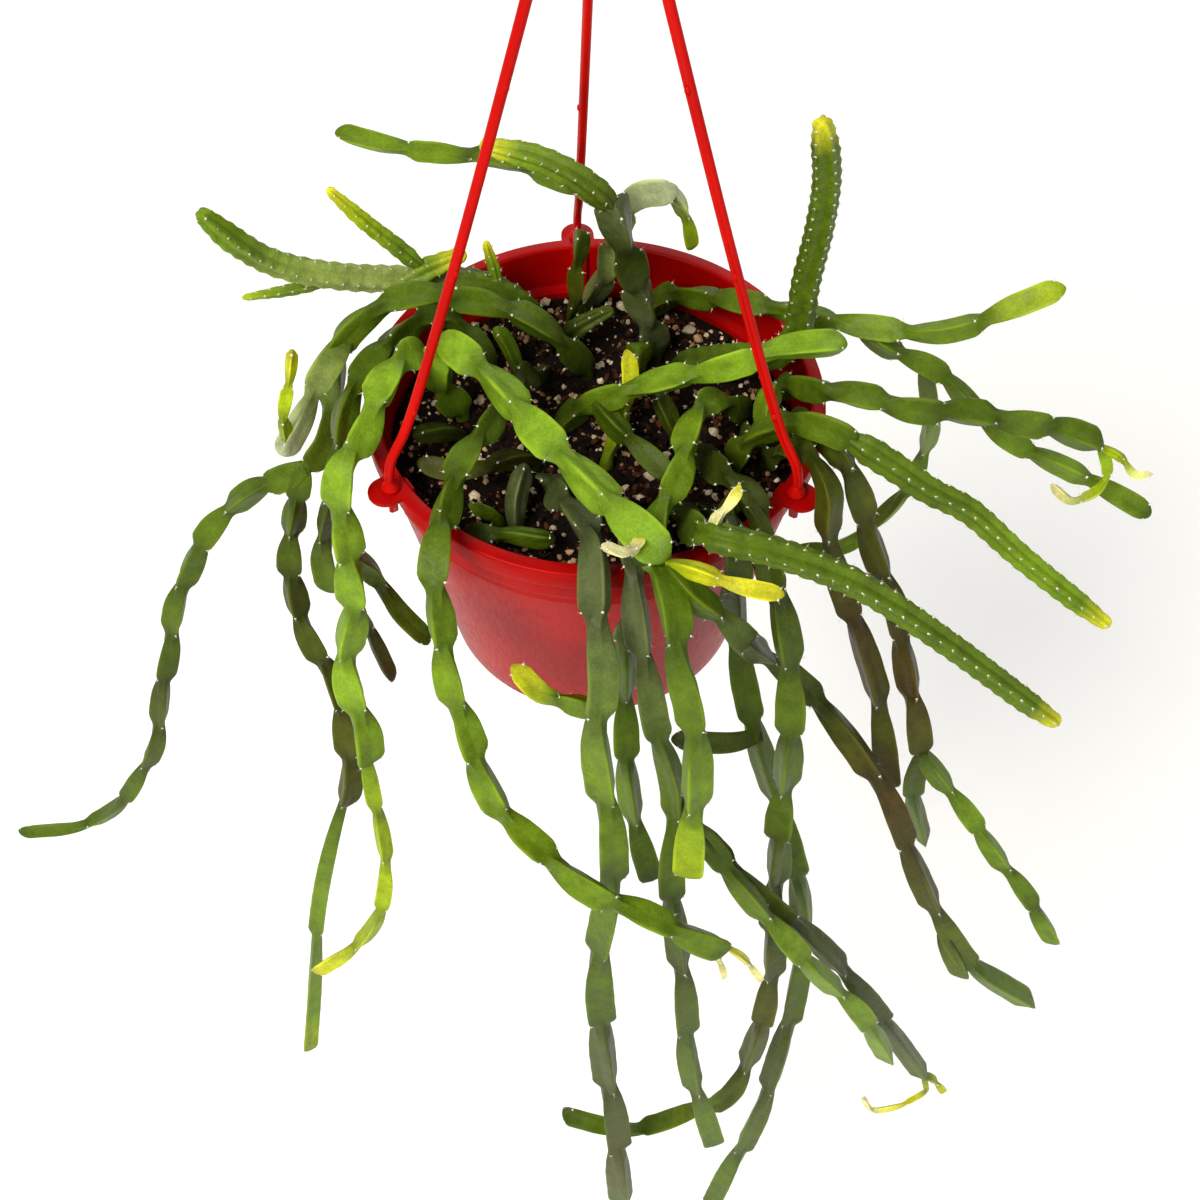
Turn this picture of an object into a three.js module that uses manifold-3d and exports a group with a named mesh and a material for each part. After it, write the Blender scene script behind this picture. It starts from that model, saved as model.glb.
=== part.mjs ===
// Potted chain cactus: jointed three-winged stems that arch and trail out of a round plastic pot,
// which hangs by three strands from one hook. Millimetres, +Z up.
// The origin is the point inside the hook that bears on a rail; the pot's rim lies rimDrop below it.
import * as THREE from 'three';
import { mergeVertices } from 'three/addons/utils/BufferGeometryUtils.js';
import Module from 'manifold-3d';

const wasm = await Module();
wasm.setup();

// Driving dimensions of the pot
const rimRadius = 75;
const rimCorner = 0.8;
const skirtHeight = 7;
const wallThickness = 1.2;
const bandRadius = 71.3;
const bandHeight = 18;
const bandSlope = 1.5;
const ledgeRadius = 69.4;
const ledgeHeight = 4;
const potHeight = 110;
const baseRadius = 53;
const baseThickness = 2;
const baseCorner = 3;
const padThickness = 2.2;
const potSides = 32;
const drainRadius = 4;
const drainCircle = 36;
const drainCount = 6;
const holeSides = 12;

// Driving dimensions of the hanger and of the lugs that it clips into
const strandAngles = [95, 213, 326];
const strandCircle = 75.5;
const strandRise = 211;
const hookRise = 34;
const rimDrop = strandRise + hookRise;
const strandWidth = 3.2;
const strandGroove = 0.62;
const strandSides = 8;
const lugWidth = 11.5;
const lugReach = 83;
const lugThickness = 1.6;
const strandPlay = 0.9;
const barbWidth = 6;
const barbPoint = 1.8;
const barbHeight = 9;
const collarWidth = 6;
const collarHeight = 3.5;
const hubWidth = 10;
const hubHeight = 13;
const hookRadius = 13;
const hookBar = 4;
const hookStrip = 5;

// Driving dimensions of the soil and the plant
const clearance = 0.3;
const soilDepth = 21;
const rootRadius = 2.4;
const rootClearance = 0.75;
const rootEnd = 6;
const shortLink = 24;
const notchLength = 12;
const wingSides = 6;
const ribSides = 10;
const tipShare = 0.26;
const notchReach = 0.86;
const ribValley = 0.62;

// Every stem's route has points chosen by hand, as [x, y, z] from the middle of the rim's top face.
// Width is across the flat of a link and links is the length of one, each from the first to the last.
// A piece with soil at its foot has root: true; any other piece grows out of one listed before it.
const stems = [
  {
    name: 'stem_left_far',
    color: 0x6f8a2c,
    pieces: [
      {
        root: true, width: [9.6, 9.6], links: [20, 24],
        route: [[-3, 28, -19], [-16, 24, 4], [-38, 29, 13], [-63, 19, 22], [-80, 8, 18], [-87, 7, -8],
          [-91, 0, -24], [-98, -8, -30]],
      },
      {
        width: [9.6, 6], links: [18, 32],
        route: [[-97, -7, -29], [-122, -9, -45], [-144, -15, -75], [-159, -26, -118], [-174, -36, -169],
          [-207, -38, -219], [-242, -38, -229]],
      },
      {
        width: [8.6, 9.4], links: [13, 22],
        route: [[-98, -7, -29], [-105, -18, -56], [-105, -29, -81], [-93, -45, -107], [-90, -61, -140],
          [-93, -67, -154]],
      },
      {
        width: [6.4, 6.8], links: [84, 92],
        route: [[-93, -66, -152], [-100, -72, -176], [-109, -78, -215], [-127, -94, -328]],
      },
      {
        width: [9, 8.4], links: [20, 20],
        route: [[-80, 8, 16], [-88, -4, 9], [-94, -17, 3], [-99, -28, 0]],
      },
      {
        width: [4.6, 4], links: [14, 14],
        route: [[-97, -25, 0], [-97, -23, 12], [-94, -18, 24], [-92, -15, 34]],
      },
    ],
  },
  {
    name: 'stem_left_inner',
    color: 0x7d9a3a,
    pieces: [
      {
        root: true, width: [9.6, 9], links: [18, 22],
        route: [[-36, 29, -19], [-43, 33, -8], [-51, 35, 0], [-60, 27, 4], [-68, 13, 8], [-75, -1, 8],
          [-80, -13, 4], [-83, -21, -16], [-92, -25, -50], [-91, -31, -68]],
      },
    ],
  },
  {
    name: 'stem_front_arch',
    color: 0x8aa83c,
    pieces: [
      {
        root: true, width: [11, 12], links: [18, 24],
        route: [[-45, 9, -19], [-50, 5, -4], [-51, 3, 10], [-47, 2, 19], [-35, -11, 21], [-17, -36, 21],
          [2, -61, 21], [21, -84, 19]],
      },
      {
        root: true, width: [9.5, 10], links: [17, 34],
        route: [[50, 8, -19], [46, 3, -9], [39, -2, -2], [33, -12, 4], [26, -40, 8], [19, -62, 11],
          [18, -78, 13], [22, -97, 13], [24, -106, 4], [29, -114, -14], [31, -125, -54], [31, -130, -86]],
      },
      { width: [10, 12], links: [10, 10], route: [[20, -83, 16], [19, -84, 12]] },
      {
        width: [11, 11], links: [14, 23],
        route: [[-50, 5, -2], [-55, 4, 10], [-60, -2, 18], [-66, -17, 18], [-72, -29, 12], [-77, -40, 8],
          [-79, -47, -8], [-78, -54, -41], [-83, -61, -66], [-79, -72, -93], [-79, -76, -108]],
      },
      {
        width: [6, 6.4], links: [26, 30],
        route: [[-79, -75, -104], [-77, -84, -135], [-77, -93, -169], [-87, -98, -200], [-111, -99, -232]],
      },
      {
        width: [7.6, 7.2], links: [26, 26],
        route: [[-78, -50, -22], [-73, -43, -40], [-67, -45, -59], [-56, -52, -69]],
      },
      {
        width: [6, 5.4], links: [20, 20],
        route: [[-79, -54, -42], [-77, -48, -62], [-74, -50, -77], [-70, -54, -89]],
      },
      {
        width: [6.2, 5], links: [18, 18],
        route: [[21, -84, 18], [29, -88, 20], [40, -93, 20], [54, -95, 18]],
      },
      {
        width: [4, 3.6], links: [13, 13],
        route: [[13, -76, 20], [12, -83, 24], [7, -88, 28], [2, -89, 33]],
      },
      {
        width: [9, 9], links: [22, 46],
        route: [[21, -84, 17], [28, -91, 13], [36, -94, 7], [44, -90, -10], [51, -81, -30], [61, -75, -49],
          [77, -80, -66], [94, -93, -85], [110, -102, -121], [128, -109, -163], [145, -112, -194],
          [174, -113, -227]],
      },
      {
        width: [9, 8], links: [24, 24],
        route: [[130, -110, -170], [136, -112, -184], [142, -114, -199]],
      },
    ],
  },
  {
    name: 'stem_upper_left_ribbed',
    color: 0x5f7f35,
    pieces: [
      {
        root: true, ribbed: true, width: [10, 9],
        route: [[-20, 50, -19], [-26, 48, -6], [-40, 48, 3], [-56, 44, 8], [-85, 39, 14], [-104, 36, 22],
          [-115, 31, 36], [-123, 26, 52]],
      },
      { ribbed: true, width: [8.6, 8], route: [[-66, 41, 9], [-55, 42, 15], [-43, 43, 21]] },
      {
        ribbed: true, width: [6.8, 5],
        route: [[-57, 42, 14], [-65, 43, 23], [-74, 42, 34], [-85, 40, 50]],
      },
      { ribbed: true, width: [5, 3.6], route: [[-88, 39, 13], [-99, 40, 8], [-120, 41, 2]] },
      { ribbed: true, width: [5, 4.6], route: [[-33, 48, 1], [-35, 50, 10], [-37, 50, 20]] },
    ],
  },
  {
    name: 'stem_back_short',
    color: 0x6d8f3a,
    pieces: [
      {
        root: true, width: [6.4, 6], links: [18, 20],
        route: [[-9, 49, -19], [-7, 47, -4], [-6, 46, 15], [-5, 43, 31]],
      },
    ],
  },
  {
    name: 'stem_back_tall',
    color: 0x7c9160,
    pieces: [
      {
        root: true, width: [11, 12], links: [20, 28],
        route: [[21, 37, -19], [18, 35, -6], [15, 32, 12], [10, 27, 32], [7, 21, 52], [5, 17, 65]],
      },
      { ribbed: true, width: [9, 8], route: [[6, 18, 61], [-4, 18, 72], [-17, 23, 76], [-35, 28, 77]] },
      {
        width: [8, 7], links: [24, 28],
        route: [[6, 19, 60], [-6, 38, 53], [-21, 52, 49], [-47, 68, 42], [-73, 78, 37], [-88, 82, 39]],
      },
    ],
  },
  {
    name: 'stem_back_pale',
    color: 0x9aa67c,
    pieces: [
      {
        root: true, width: [9, 9], links: [18, 22],
        route: [[-4, 60, -19], [1, 59, -8], [5, 56, 4], [6, 53, 18], [9, 48, 34], [15, 45, 45], [26, 43, 48]],
      },
      {
        width: [5.4, 5], links: [16, 16],
        route: [[24, 43, 48], [28, 46, 38], [30, 48, 28], [32, 49, 18]],
      },
    ],
  },
  {
    name: 'stem_right_back',
    color: 0x6a8a33,
    pieces: [
      {
        root: true, width: [9.2, 7.6], links: [20, 28],
        route: [[19, 55, -19], [24, 54, -9], [33, 46, 0], [42, 38, 6], [52, 31, 10], [64, 25, 13], [86, 16, 15],
          [111, 8, 21], [132, 7, 33], [145, 7, 41]],
      },
      {
        width: [8, 7.4], links: [15, 22],
        route: [[86, 16, 14], [96, 12, 9], [112, 8, 3], [134, -4, -14], [162, -11, -26], [186, -22, -34]],
      },
      {
        width: [7, 6.6], links: [29, 14],
        route: [[108, 10, 5], [114, 14, -18], [118, 21, -50], [113, 22, -80], [96, 20, -103], [76, 19, -109]],
      },
    ],
  },
  {
    name: 'stem_right_upright_ribbed',
    color: 0x5d7e33,
    pieces: [
      {
        root: true, ribbed: true, width: [10.6, 8],
        route: [[28, 30, -19], [37, 24, -9], [49, 17, 0], [59, 12, 6], [64, 10, 15], [65, 10, 38], [66, 5, 65],
          [65, -1, 88], [60, -10, 116]],
      },
    ],
  },
  {
    name: 'stem_right_middle',
    color: 0x6c8b30,
    pieces: [
      {
        root: true, width: [9, 9.6], links: [17, 21],
        route: [[57, 13, -19], [59, 5, -6], [62, -3, 7], [68, -10, 14], [77, -16, 17], [91, -19, 16],
          [108, -19, 13], [125, -17, 8], [142, -15, 3], [164, -16, -6]],
      },
      {
        width: [3.4, 3], links: [12, 12],
        route: [[163, -16, -6], [169, -21, -6], [173, -27, -8], [178, -28, -6]],
      },
      {
        width: [4, 3.6], links: [12, 12],
        route: [[163, -16, -6], [166, -20, -12], [165, -24, -18], [157, -25, -23], [151, -17, -24]],
      },
    ],
  },
  {
    name: 'stem_right_ribbed',
    color: 0x67862f,
    pieces: [
      {
        root: true, width: [9.6, 9.8], links: [20, 24],
        route: [[46, -16, -19], [48, -19, -5], [53, -24, 9], [61, -28, 17], [70, -33, 21], [80, -38, 20]],
      },
      {
        ribbed: true, width: [9.8, 7],
        route: [[76, -36, 20], [91, -43, 14], [102, -46, 7], [115, -48, 0], [133, -56, -13], [163, -70, -31]],
      },
      { width: [8.4, 8], links: [18, 18], route: [[53, -24, 8], [54, -16, 12], [57, -9, 15]] },
    ],
  },
  {
    name: 'stem_centre',
    color: 0x7a9644,
    pieces: [
      {
        root: true, width: [9.4, 9], links: [17, 26],
        route: [[-13, -1, -19], [-7, -1, -9], [0, -3, 0], [21, -5, 10], [45, -7, 22], [57, -7, 27],
          [78, -6, 29]],
      },
      {
        width: [8, 7.6], links: [18, 20],
        route: [[0, -4, 0], [6, -10, -4], [13, -16, -7], [25, -27, -11]],
      },
    ],
  },
  {
    name: 'stem_front_ribbed',
    color: 0x6a8a30,
    pieces: [
      {
        root: true, width: [9.4, 10], links: [22, 24],
        route: [[27, -33, -19], [28, -47, -7], [30, -61, 6], [33, -73, 16]],
      },
      {
        ribbed: true, width: [10, 7.6],
        route: [[31, -68, 13], [36, -76, 20], [51, -79, 18], [72, -81, 9], [84, -83, 2], [108, -88, -16],
          [134, -94, -37], [146, -97, -46]],
      },
      {
        width: [4, 3.6], links: [12, 12],
        route: [[34, -75, 16], [35, -73, 24], [39, -71, 31], [41, -71, 38]],
      },
    ],
  },
  {
    name: 'stem_front_left',
    color: 0x5f8038,
    pieces: [
      {
        root: true, width: [10, 11.4], links: [14, 62],
        route: [[-15, -22, -19], [-11, -40, -5], [-5, -57, 6], [0, -73, 11], [1, -84, 8], [1, -96, -1],
          [2, -103, -12], [1, -110, -27], [5, -119, -70], [6, -125, -113], [2, -130, -162], [4, -134, -204],
          [12, -144, -320], [15, -148, -374]],
      },
      {
        width: [7.6, 7], links: [18, 20],
        route: [[2, -108, -22], [-7, -101, -29], [-16, -97, -31], [-25, -91, -24]],
      },
    ],
  },
  {
    name: 'stem_front_middle',
    color: 0x5a7a34,
    pieces: [
      {
        root: true, width: [9, 9], links: [16, 56],
        route: [[6, -32, -19], [8, -47, -8], [10, -62, 5], [11, -73, 8], [12, -82, 4], [14, -89, -10],
          [18, -101, -36], [26, -110, -66], [26, -121, -104], [31, -129, -147], [39, -138, -234],
          [52, -143, -305]],
      },
      {
        width: [8.4, 8], links: [22, 40],
        route: [[26, -110, -66], [36, -113, -91], [56, -125, -118], [76, -131, -150], [99, -131, -192],
          [118, -131, -241]],
      },
      {
        width: [8.6, 8.8], links: [26, 66],
        route: [[34, -112, -88], [46, -114, -109], [59, -118, -125], [71, -120, -141], [94, -120, -182],
          [116, -118, -233], [142, -117, -295]],
      },
      {
        width: [3, 2.8], links: [16, 16],
        route: [[142, -117, -294], [145, -118, -311], [137, -119, -324], [125, -120, -328], [118, -120, -313]],
      },
      {
        width: [4, 3.6], links: [12, 12],
        route: [[142, -117, -293], [147, -117, -300], [154, -117, -314]],
      },
      {
        width: [8.6, 8.6], links: [22, 32],
        route: [[12, -85, -4], [10, -80, -22], [10, -83, -38], [11, -92, -78], [15, -100, -110],
          [21, -105, -138]],
      },
    ],
  },
  {
    name: 'stem_front_long',
    color: 0x7fa033,
    pieces: [
      {
        root: true, width: [9.4, 9.6], links: [15, 24],
        route: [[-18, 26, -19], [-21, 16, -9], [-25, 4, 1], [-32, -16, 6], [-38, -31, 8], [-44, -50, 8],
          [-46, -68, 9], [-47, -80, 2], [-46, -88, -12], [-42, -98, -34], [-35, -108, -60], [-26, -118, -73],
          [-6, -136, -76], [19, -142, -93], [45, -142, -115]],
      },
      {
        width: [3, 2.6], links: [14, 14],
        route: [[45, -142, -114], [51, -143, -121], [58, -144, -136]],
      },
      {
        width: [3, 2.6], links: [14, 14],
        route: [[40, -142, -112], [43, -143, -124], [45, -144, -134]],
      },
    ],
  },
  {
    name: 'stem_right_front_long',
    color: 0x637d36,
    pieces: [
      {
        root: true, width: [9.6, 9], links: [20, 40],
        route: [[33, -8, -19], [36, -22, -8], [40, -36, 2], [45, -49, 9], [49, -61, 11], [52, -72, 7],
          [55, -82, -3], [61, -94, -32], [62, -101, -58], [63, -104, -98], [66, -108, -159], [69, -115, -222],
          [59, -124, -294], [47, -126, -311], [21, -127, -334], [6, -127, -327], [-12, -127, -313]],
      },
    ],
  },
  {
    name: 'stem_right_front_low',
    color: 0x55722f,
    pieces: [
      {
        root: true, width: [9, 9.4], links: [18, 66],
        route: [[36, -34, -19], [38, -46, -7], [40, -58, 8], [42, -68, 10], [42, -76, 5], [43, -72, -12],
          [46, -72, -42], [55, -83, -80], [69, -92, -128], [80, -99, -182], [81, -108, -239], [77, -117, -315],
          [60, -128, -441]],
      },
      { width: [7.4, 7], links: [28, 30], route: [[56, -83, -76], [45, -85, -78], [26, -83, -79]] },
    ],
  },
  {
    name: 'stem_right_outer',
    color: 0x5d6b2a,
    pieces: [
      {
        root: true, width: [8.6, 9], links: [20, 42],
        route: [[57, -11, -19], [58, -21, -6], [62, -30, 7], [67, -40, 12], [71, -49, 9], [72, -53, -3],
          [76, -56, -18], [87, -64, -48], [96, -72, -74], [105, -80, -114]],
      },
    ],
  },
  {
    name: 'stem_right_outer_branched',
    color: 0x5c6e2c,
    pieces: [
      {
        root: true, width: [9, 9], links: [18, 28],
        route: [[61, -4, -19], [62, -9, -8], [64, -17, 5], [71, -27, 10], [77, -34, 8], [82, -38, -4],
          [88, -43, -19], [96, -52, -38], [105, -63, -65], [114, -74, -102]],
      },
      {
        width: [8, 7.4], links: [28, 30],
        route: [[114, -74, -100], [115, -73, -124], [120, -73, -147], [126, -74, -167]],
      },
      {
        width: [7.8, 7], links: [24, 28],
        route: [[114, -74, -101], [130, -82, -122], [147, -90, -146], [164, -97, -171], [178, -102, -195]],
      },
    ],
  },
  {
    name: 'stem_short_back_left',
    color: 0x7c9a45,
    pieces: [
      {
        root: true, width: [6, 5.6], links: [14, 14],
        route: [[-26, 25, -19], [-30, 30, -9], [-34, 31, -1]],
      },
    ],
  },
  {
    name: 'stem_short_bristly',
    color: 0x4c6234,
    pieces: [
      {
        root: true, ribbed: true, width: [8, 7],
        route: [[-12, 40, -19], [-7, 39, -10], [0, 40, -5], [6, 40, -1]],
      },
    ],
  },
  {
    name: 'stem_short_front',
    color: 0x4f6a35,
    pieces: [
      {
        root: true, width: [7.6, 7], links: [16, 16],
        route: [[-25, -44, -19], [-25, -36, -11], [-22, -27, -4]],
      },
    ],
  },
  {
    name: 'stem_short_lying_left',
    color: 0x4d6233,
    pieces: [
      {
        root: true, width: [7.4, 7], links: [18, 20],
        route: [[-20, -13, -19], [-27, -19, -11], [-37, -25, -9], [-47, -26, -9], [-57, -24, -7]],
      },
    ],
  },
  {
    name: 'stem_short_lying_front',
    color: 0x5c7a3c,
    pieces: [
      {
        root: true, width: [7, 6.6], links: [16, 18],
        route: [[-41, -45, -19], [-36, -50, -12], [-27, -51, -10], [-17, -52, -11], [-12, -52, -11]],
      },
    ],
  },
  {
    name: 'stem_short_sprout',
    color: 0x667f3e,
    pieces: [
      {
        root: true, width: [5, 4.6], links: [12, 12],
        route: [[-31, -38, -19], [-35, -39, -13], [-40, -39, -10]],
      },
    ],
  },
  {
    name: 'stem_short_yellow_tip',
    color: 0xb0a845,
    pieces: [
      {
        root: true, width: [6, 5.6], links: [16, 16],
        route: [[4, -12, -19], [8, -6, -11], [11, 6, 0], [10, 12, 8]],
      },
    ],
  },
  {
    name: 'stem_short_cut',
    color: 0x74904c,
    pieces: [
      {
        root: true, width: [8, 9], links: [14, 14],
        route: [[15, 29, -19], [15, 28, -12], [14, 26, -4]],
      },
    ],
  },
  {
    name: 'stem_short_middle',
    color: 0x6b853d,
    pieces: [
      {
        root: true, width: [7.4, 7], links: [14, 14],
        route: [[27, -3, -19], [24, 1, -12], [20, 6, -6]],
      },
    ],
  },
  {
    name: 'stem_short_right',
    color: 0x58733a,
    pieces: [
      {
        root: true, width: [6, 5.6], links: [12, 12],
        route: [[49, -4, -19], [50, -5, -13], [51, -6, -9]],
      },
    ],
  },
  {
    name: 'stem_short_left',
    color: 0x5a7338,
    pieces: [
      {
        root: true, width: [7.4, 7], links: [16, 16],
        route: [[-45, -2, -19], [-51, -8, -10], [-59, -13, -7]],
      },
    ],
  },
  {
    name: 'stem_short_front_right',
    color: 0x5a7338,
    pieces: [
      {
        root: true, width: [7, 6.4], links: [12, 12],
        route: [[46, -36, -19], [47, -37, -13], [49, -38, -7]],
      },
    ],
  },
];

function toSolid(geometry) {
  const closed = geometry.clone();
  closed.deleteAttribute('normal');
  closed.deleteAttribute('uv');
  const merged = mergeVertices(closed, 1e-4);
  return new wasm.Manifold(new wasm.Mesh({
    numProp: 3,
    vertProperties: new Float32Array(merged.attributes.position.array),
    triVerts: new Uint32Array(merged.index.array),
  }));
}

function toGeometry(solid) {
  const mesh = solid.getMesh();
  const geometry = new THREE.BufferGeometry();
  geometry.setAttribute('position', new THREE.BufferAttribute(mesh.vertProperties, 3));
  geometry.setIndex(new THREE.BufferAttribute(mesh.triVerts, 1));
  geometry.computeVertexNormals();
  return geometry;
}

function namedMesh(name, solid, color, roughness) {
  const material = new THREE.MeshStandardMaterial({ color, roughness, metalness: 0 });
  const mesh = new THREE.Mesh(toGeometry(solid), material);
  mesh.name = name;
  return mesh;
}

// A lathe turned about the upright axis, from [radius, height] pairs that go round the section.
function turned(profile, sides) {
  const points = profile.map(([radius, height]) => new THREE.Vector2(radius, height));
  return toSolid(new THREE.LatheGeometry(points, sides).rotateX(Math.PI / 2));
}

function box(width, depth, height, x, y, z) {
  return new THREE.BoxGeometry(width, depth, height).translate(x, y, z);
}

function post(radius, height, sides, x, y, z) {
  return new THREE.CylinderGeometry(radius, radius, height, sides).rotateX(Math.PI / 2).translate(x, y, z);
}

// Turns a geometry made at the +X side of the pot round to one of the three strands.
function atStrand(geometry, degrees) {
  return geometry.clone().rotateZ(THREE.MathUtils.degToRad(degrees));
}

// The section goes up the outside from the base, over the rim's skirt and down the inside.
function potWall() {
  const innerTop = bandRadius - wallThickness;
  const innerLedge = ledgeRadius - wallThickness;
  const innerBase = baseRadius - wallThickness;
  const floor = -potHeight + baseThickness;
  return turned([
    [0, -potHeight],
    [baseRadius - baseCorner, -potHeight],
    [baseRadius, -potHeight + baseCorner],
    [ledgeRadius, -bandHeight - ledgeHeight],
    [ledgeRadius, -bandHeight],
    [bandRadius, -bandHeight + wallThickness],
    [bandRadius, -wallThickness],
    [rimRadius - wallThickness, -wallThickness],
    [rimRadius - wallThickness, -skirtHeight],
    [rimRadius, -skirtHeight],
    [rimRadius, -rimCorner],
    [rimRadius - rimCorner, 0],
    [innerTop, 0],
    [innerTop, -bandHeight + bandSlope],
    [innerLedge, -bandHeight - wallThickness],
    [innerLedge, -bandHeight - ledgeHeight],
    [innerBase, floor + baseCorner],
    [innerBase - baseCorner, floor],
    [0, floor],
  ], potSides);
}

// A flat tongue on the rim, straight at the wall and round at its outer end.
function lug() {
  const half = lugWidth / 2;
  const outline = new THREE.Shape();
  outline.moveTo(bandRadius - wallThickness / 2, -half);
  outline.lineTo(lugReach - half, -half);
  outline.absarc(lugReach - half, 0, half, -Math.PI / 2, Math.PI / 2, false);
  outline.lineTo(bandRadius - wallThickness / 2, half);
  outline.closePath();
  const settings = { depth: lugThickness, bevelEnabled: false, curveSegments: 6 };
  return new THREE.ExtrudeGeometry(outline, settings).translate(0, 0, -lugThickness);
}

// The pad inside the wall that stiffens it under a lug.
function innerPad() {
  const middle = bandRadius - wallThickness - clearance;
  return box(padThickness, barbWidth, bandHeight - 2 * bandSlope, middle, 0, -bandHeight / 2);
}

// The gap in the rim's skirt that lets a strand's foot hang free below its lug.
function skirtNotch() {
  return box(3 * wallThickness, lugWidth + 1, skirtHeight, rimRadius, 0, -lugThickness - skirtHeight / 2);
}

function drainHole(index) {
  const angle = (index + 0.5) * 2 * Math.PI / drainCount;
  const x = drainCircle * Math.cos(angle);
  const y = drainCircle * Math.sin(angle);
  return post(drainRadius, 4 * baseThickness, holeSides, x, y, -potHeight);
}

function pot() {
  let body = potWall();
  const strandHole = post(strandWidth / 2 + strandPlay, 4 * lugThickness, holeSides, strandCircle, 0, 0);
  for (const degrees of strandAngles) {
    body = body.subtract(toSolid(atStrand(skirtNotch(), degrees)));
    body = body.add(toSolid(atStrand(lug(), degrees)));
    body = body.add(toSolid(atStrand(innerPad(), degrees)));
    body = body.subtract(toSolid(atStrand(strandHole, degrees)));
  }
  for (let i = 0; i < drainCount; i += 1) {
    body = body.subtract(toSolid(drainHole(i)));
  }
  return namedMesh('pot', body, 0xc81e1e, 0.3);
}

// The strand's section: round, with a groove pressed along its outer side.
function strandSection() {
  const radius = strandWidth / 2;
  const outline = new THREE.Shape();
  outline.moveTo(radius * strandGroove, 0);
  for (let i = 1; i < strandSides; i += 1) {
    const angle = i * 2 * Math.PI / strandSides;
    outline.lineTo(radius * Math.cos(angle), radius * Math.sin(angle));
  }
  outline.closePath();
  return outline;
}

// A strand leans straight in from the hub, curves down near the rim and passes through its lug.
function strand() {
  const route = new THREE.CatmullRomCurve3([
    new THREE.Vector3(1.5, 0, strandRise + 1),
    new THREE.Vector3(strandCircle * 0.33, 0, strandRise * 0.67),
    new THREE.Vector3(strandCircle * 0.66, 0, strandRise * 0.33),
    new THREE.Vector3(strandCircle * 0.91, 0, strandRise * 0.1),
    new THREE.Vector3(strandCircle - 1.8, 0, 13),
    new THREE.Vector3(strandCircle, 0, 6),
    new THREE.Vector3(strandCircle, 0, 2),
    new THREE.Vector3(strandCircle, 0, -lugThickness - strandWidth / 2),
  ], false, 'centripetal');
  return new THREE.ExtrudeGeometry(strandSection(), { steps: 12, extrudePath: route, bevelEnabled: false });
}

// The barbed foot under a lug: a flat wedge with a blunt point, wider than the hole.
function barb() {
  const outline = new THREE.Shape();
  outline.moveTo(-barbWidth / 2, 0);
  outline.lineTo(barbWidth / 2, 0);
  outline.lineTo(barbPoint / 2, -barbHeight);
  outline.lineTo(-barbPoint / 2, -barbHeight);
  outline.closePath();
  const geometry = new THREE.ExtrudeGeometry(outline, { depth: strandWidth, bevelEnabled: false });
  geometry.translate(0, 0, -strandWidth / 2).rotateX(Math.PI / 2).rotateZ(Math.PI / 2);
  return geometry.translate(strandCircle, 0, -lugThickness - clearance);
}

// The cone round a strand's foot that rests on the lug.
function collar() {
  const geometry = new THREE.CylinderGeometry(collarWidth / 4, collarWidth / 2, collarHeight, ribSides);
  return geometry.rotateX(Math.PI / 2).translate(strandCircle, 0, clearance + collarHeight / 2);
}

// The hook's bar has a flat strip's section with its long edges cut off.
function hookSection() {
  const half = hookBar / 2;
  const wide = hookStrip / 2;
  const corners = [[half, 0.7 * half], [0.6 * half, wide], [-0.6 * half, wide], [-half, 0.7 * half]];
  const outline = [...corners, ...corners.map(([x, y]) => [-x, -y])];
  return new THREE.Shape(outline.map(([x, y]) => new THREE.Vector2(x, y)));
}

// The hook rises from the hub and goes round over its bearing point, open to one side.
function hook() {
  const centre = -hookRadius + hookBar / 2;
  const points = [new THREE.Vector3(0, 0, -hookRise - 2), new THREE.Vector3(0, 0, -hookRise + 5)];
  for (let degrees = -50; degrees <= 205; degrees += 30) {
    const angle = THREE.MathUtils.degToRad(degrees);
    points.push(new THREE.Vector3(hookRadius * Math.cos(angle), 0, centre + hookRadius * Math.sin(angle)));
  }
  const route = new THREE.CatmullRomCurve3(points, false, 'centripetal');
  return new THREE.ExtrudeGeometry(hookSection(), { steps: 18, extrudePath: route, bevelEnabled: false });
}

// The round hub that the strands run into, with both its ends tapered.
function hub() {
  const radius = hubWidth / 2;
  const top = strandRise + hubHeight / 2;
  const bottom = strandRise - hubHeight / 2;
  const section = [[0, bottom], [0.6 * radius, bottom], [radius, bottom + 4], [radius, top - 2],
    [0.7 * radius, top], [0, top]];
  return turned(section, holeSides);
}

function hanger() {
  let body = hub().add(toSolid(hook().translate(0, 0, rimDrop)));
  for (const degrees of strandAngles) {
    body = body.add(toSolid(atStrand(strand(), degrees)));
    body = body.add(toSolid(atStrand(barb(), degrees)));
    body = body.add(toSolid(atStrand(collar(), degrees)));
  }
  return namedMesh('hanger', body, 0xd0241c, 0.35);
}

// A stem's width in radii of its wings or ribs: three wings stand 120 degrees apart, five ribs 72.
const wingedWidth = Math.sqrt(3);
const ribbedWidth = 1.9;

// Rings along a link, as [part of its length, wing, core], in parts of the wing's radius.
const longRings = [[0, 0.5, 0.5], [0.3, 0.86, 0.44], [0.8, 1, 0.46]];
const shortRings = [[0, 0.52, 0.52], [0.66, 1, 0.46]];

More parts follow.
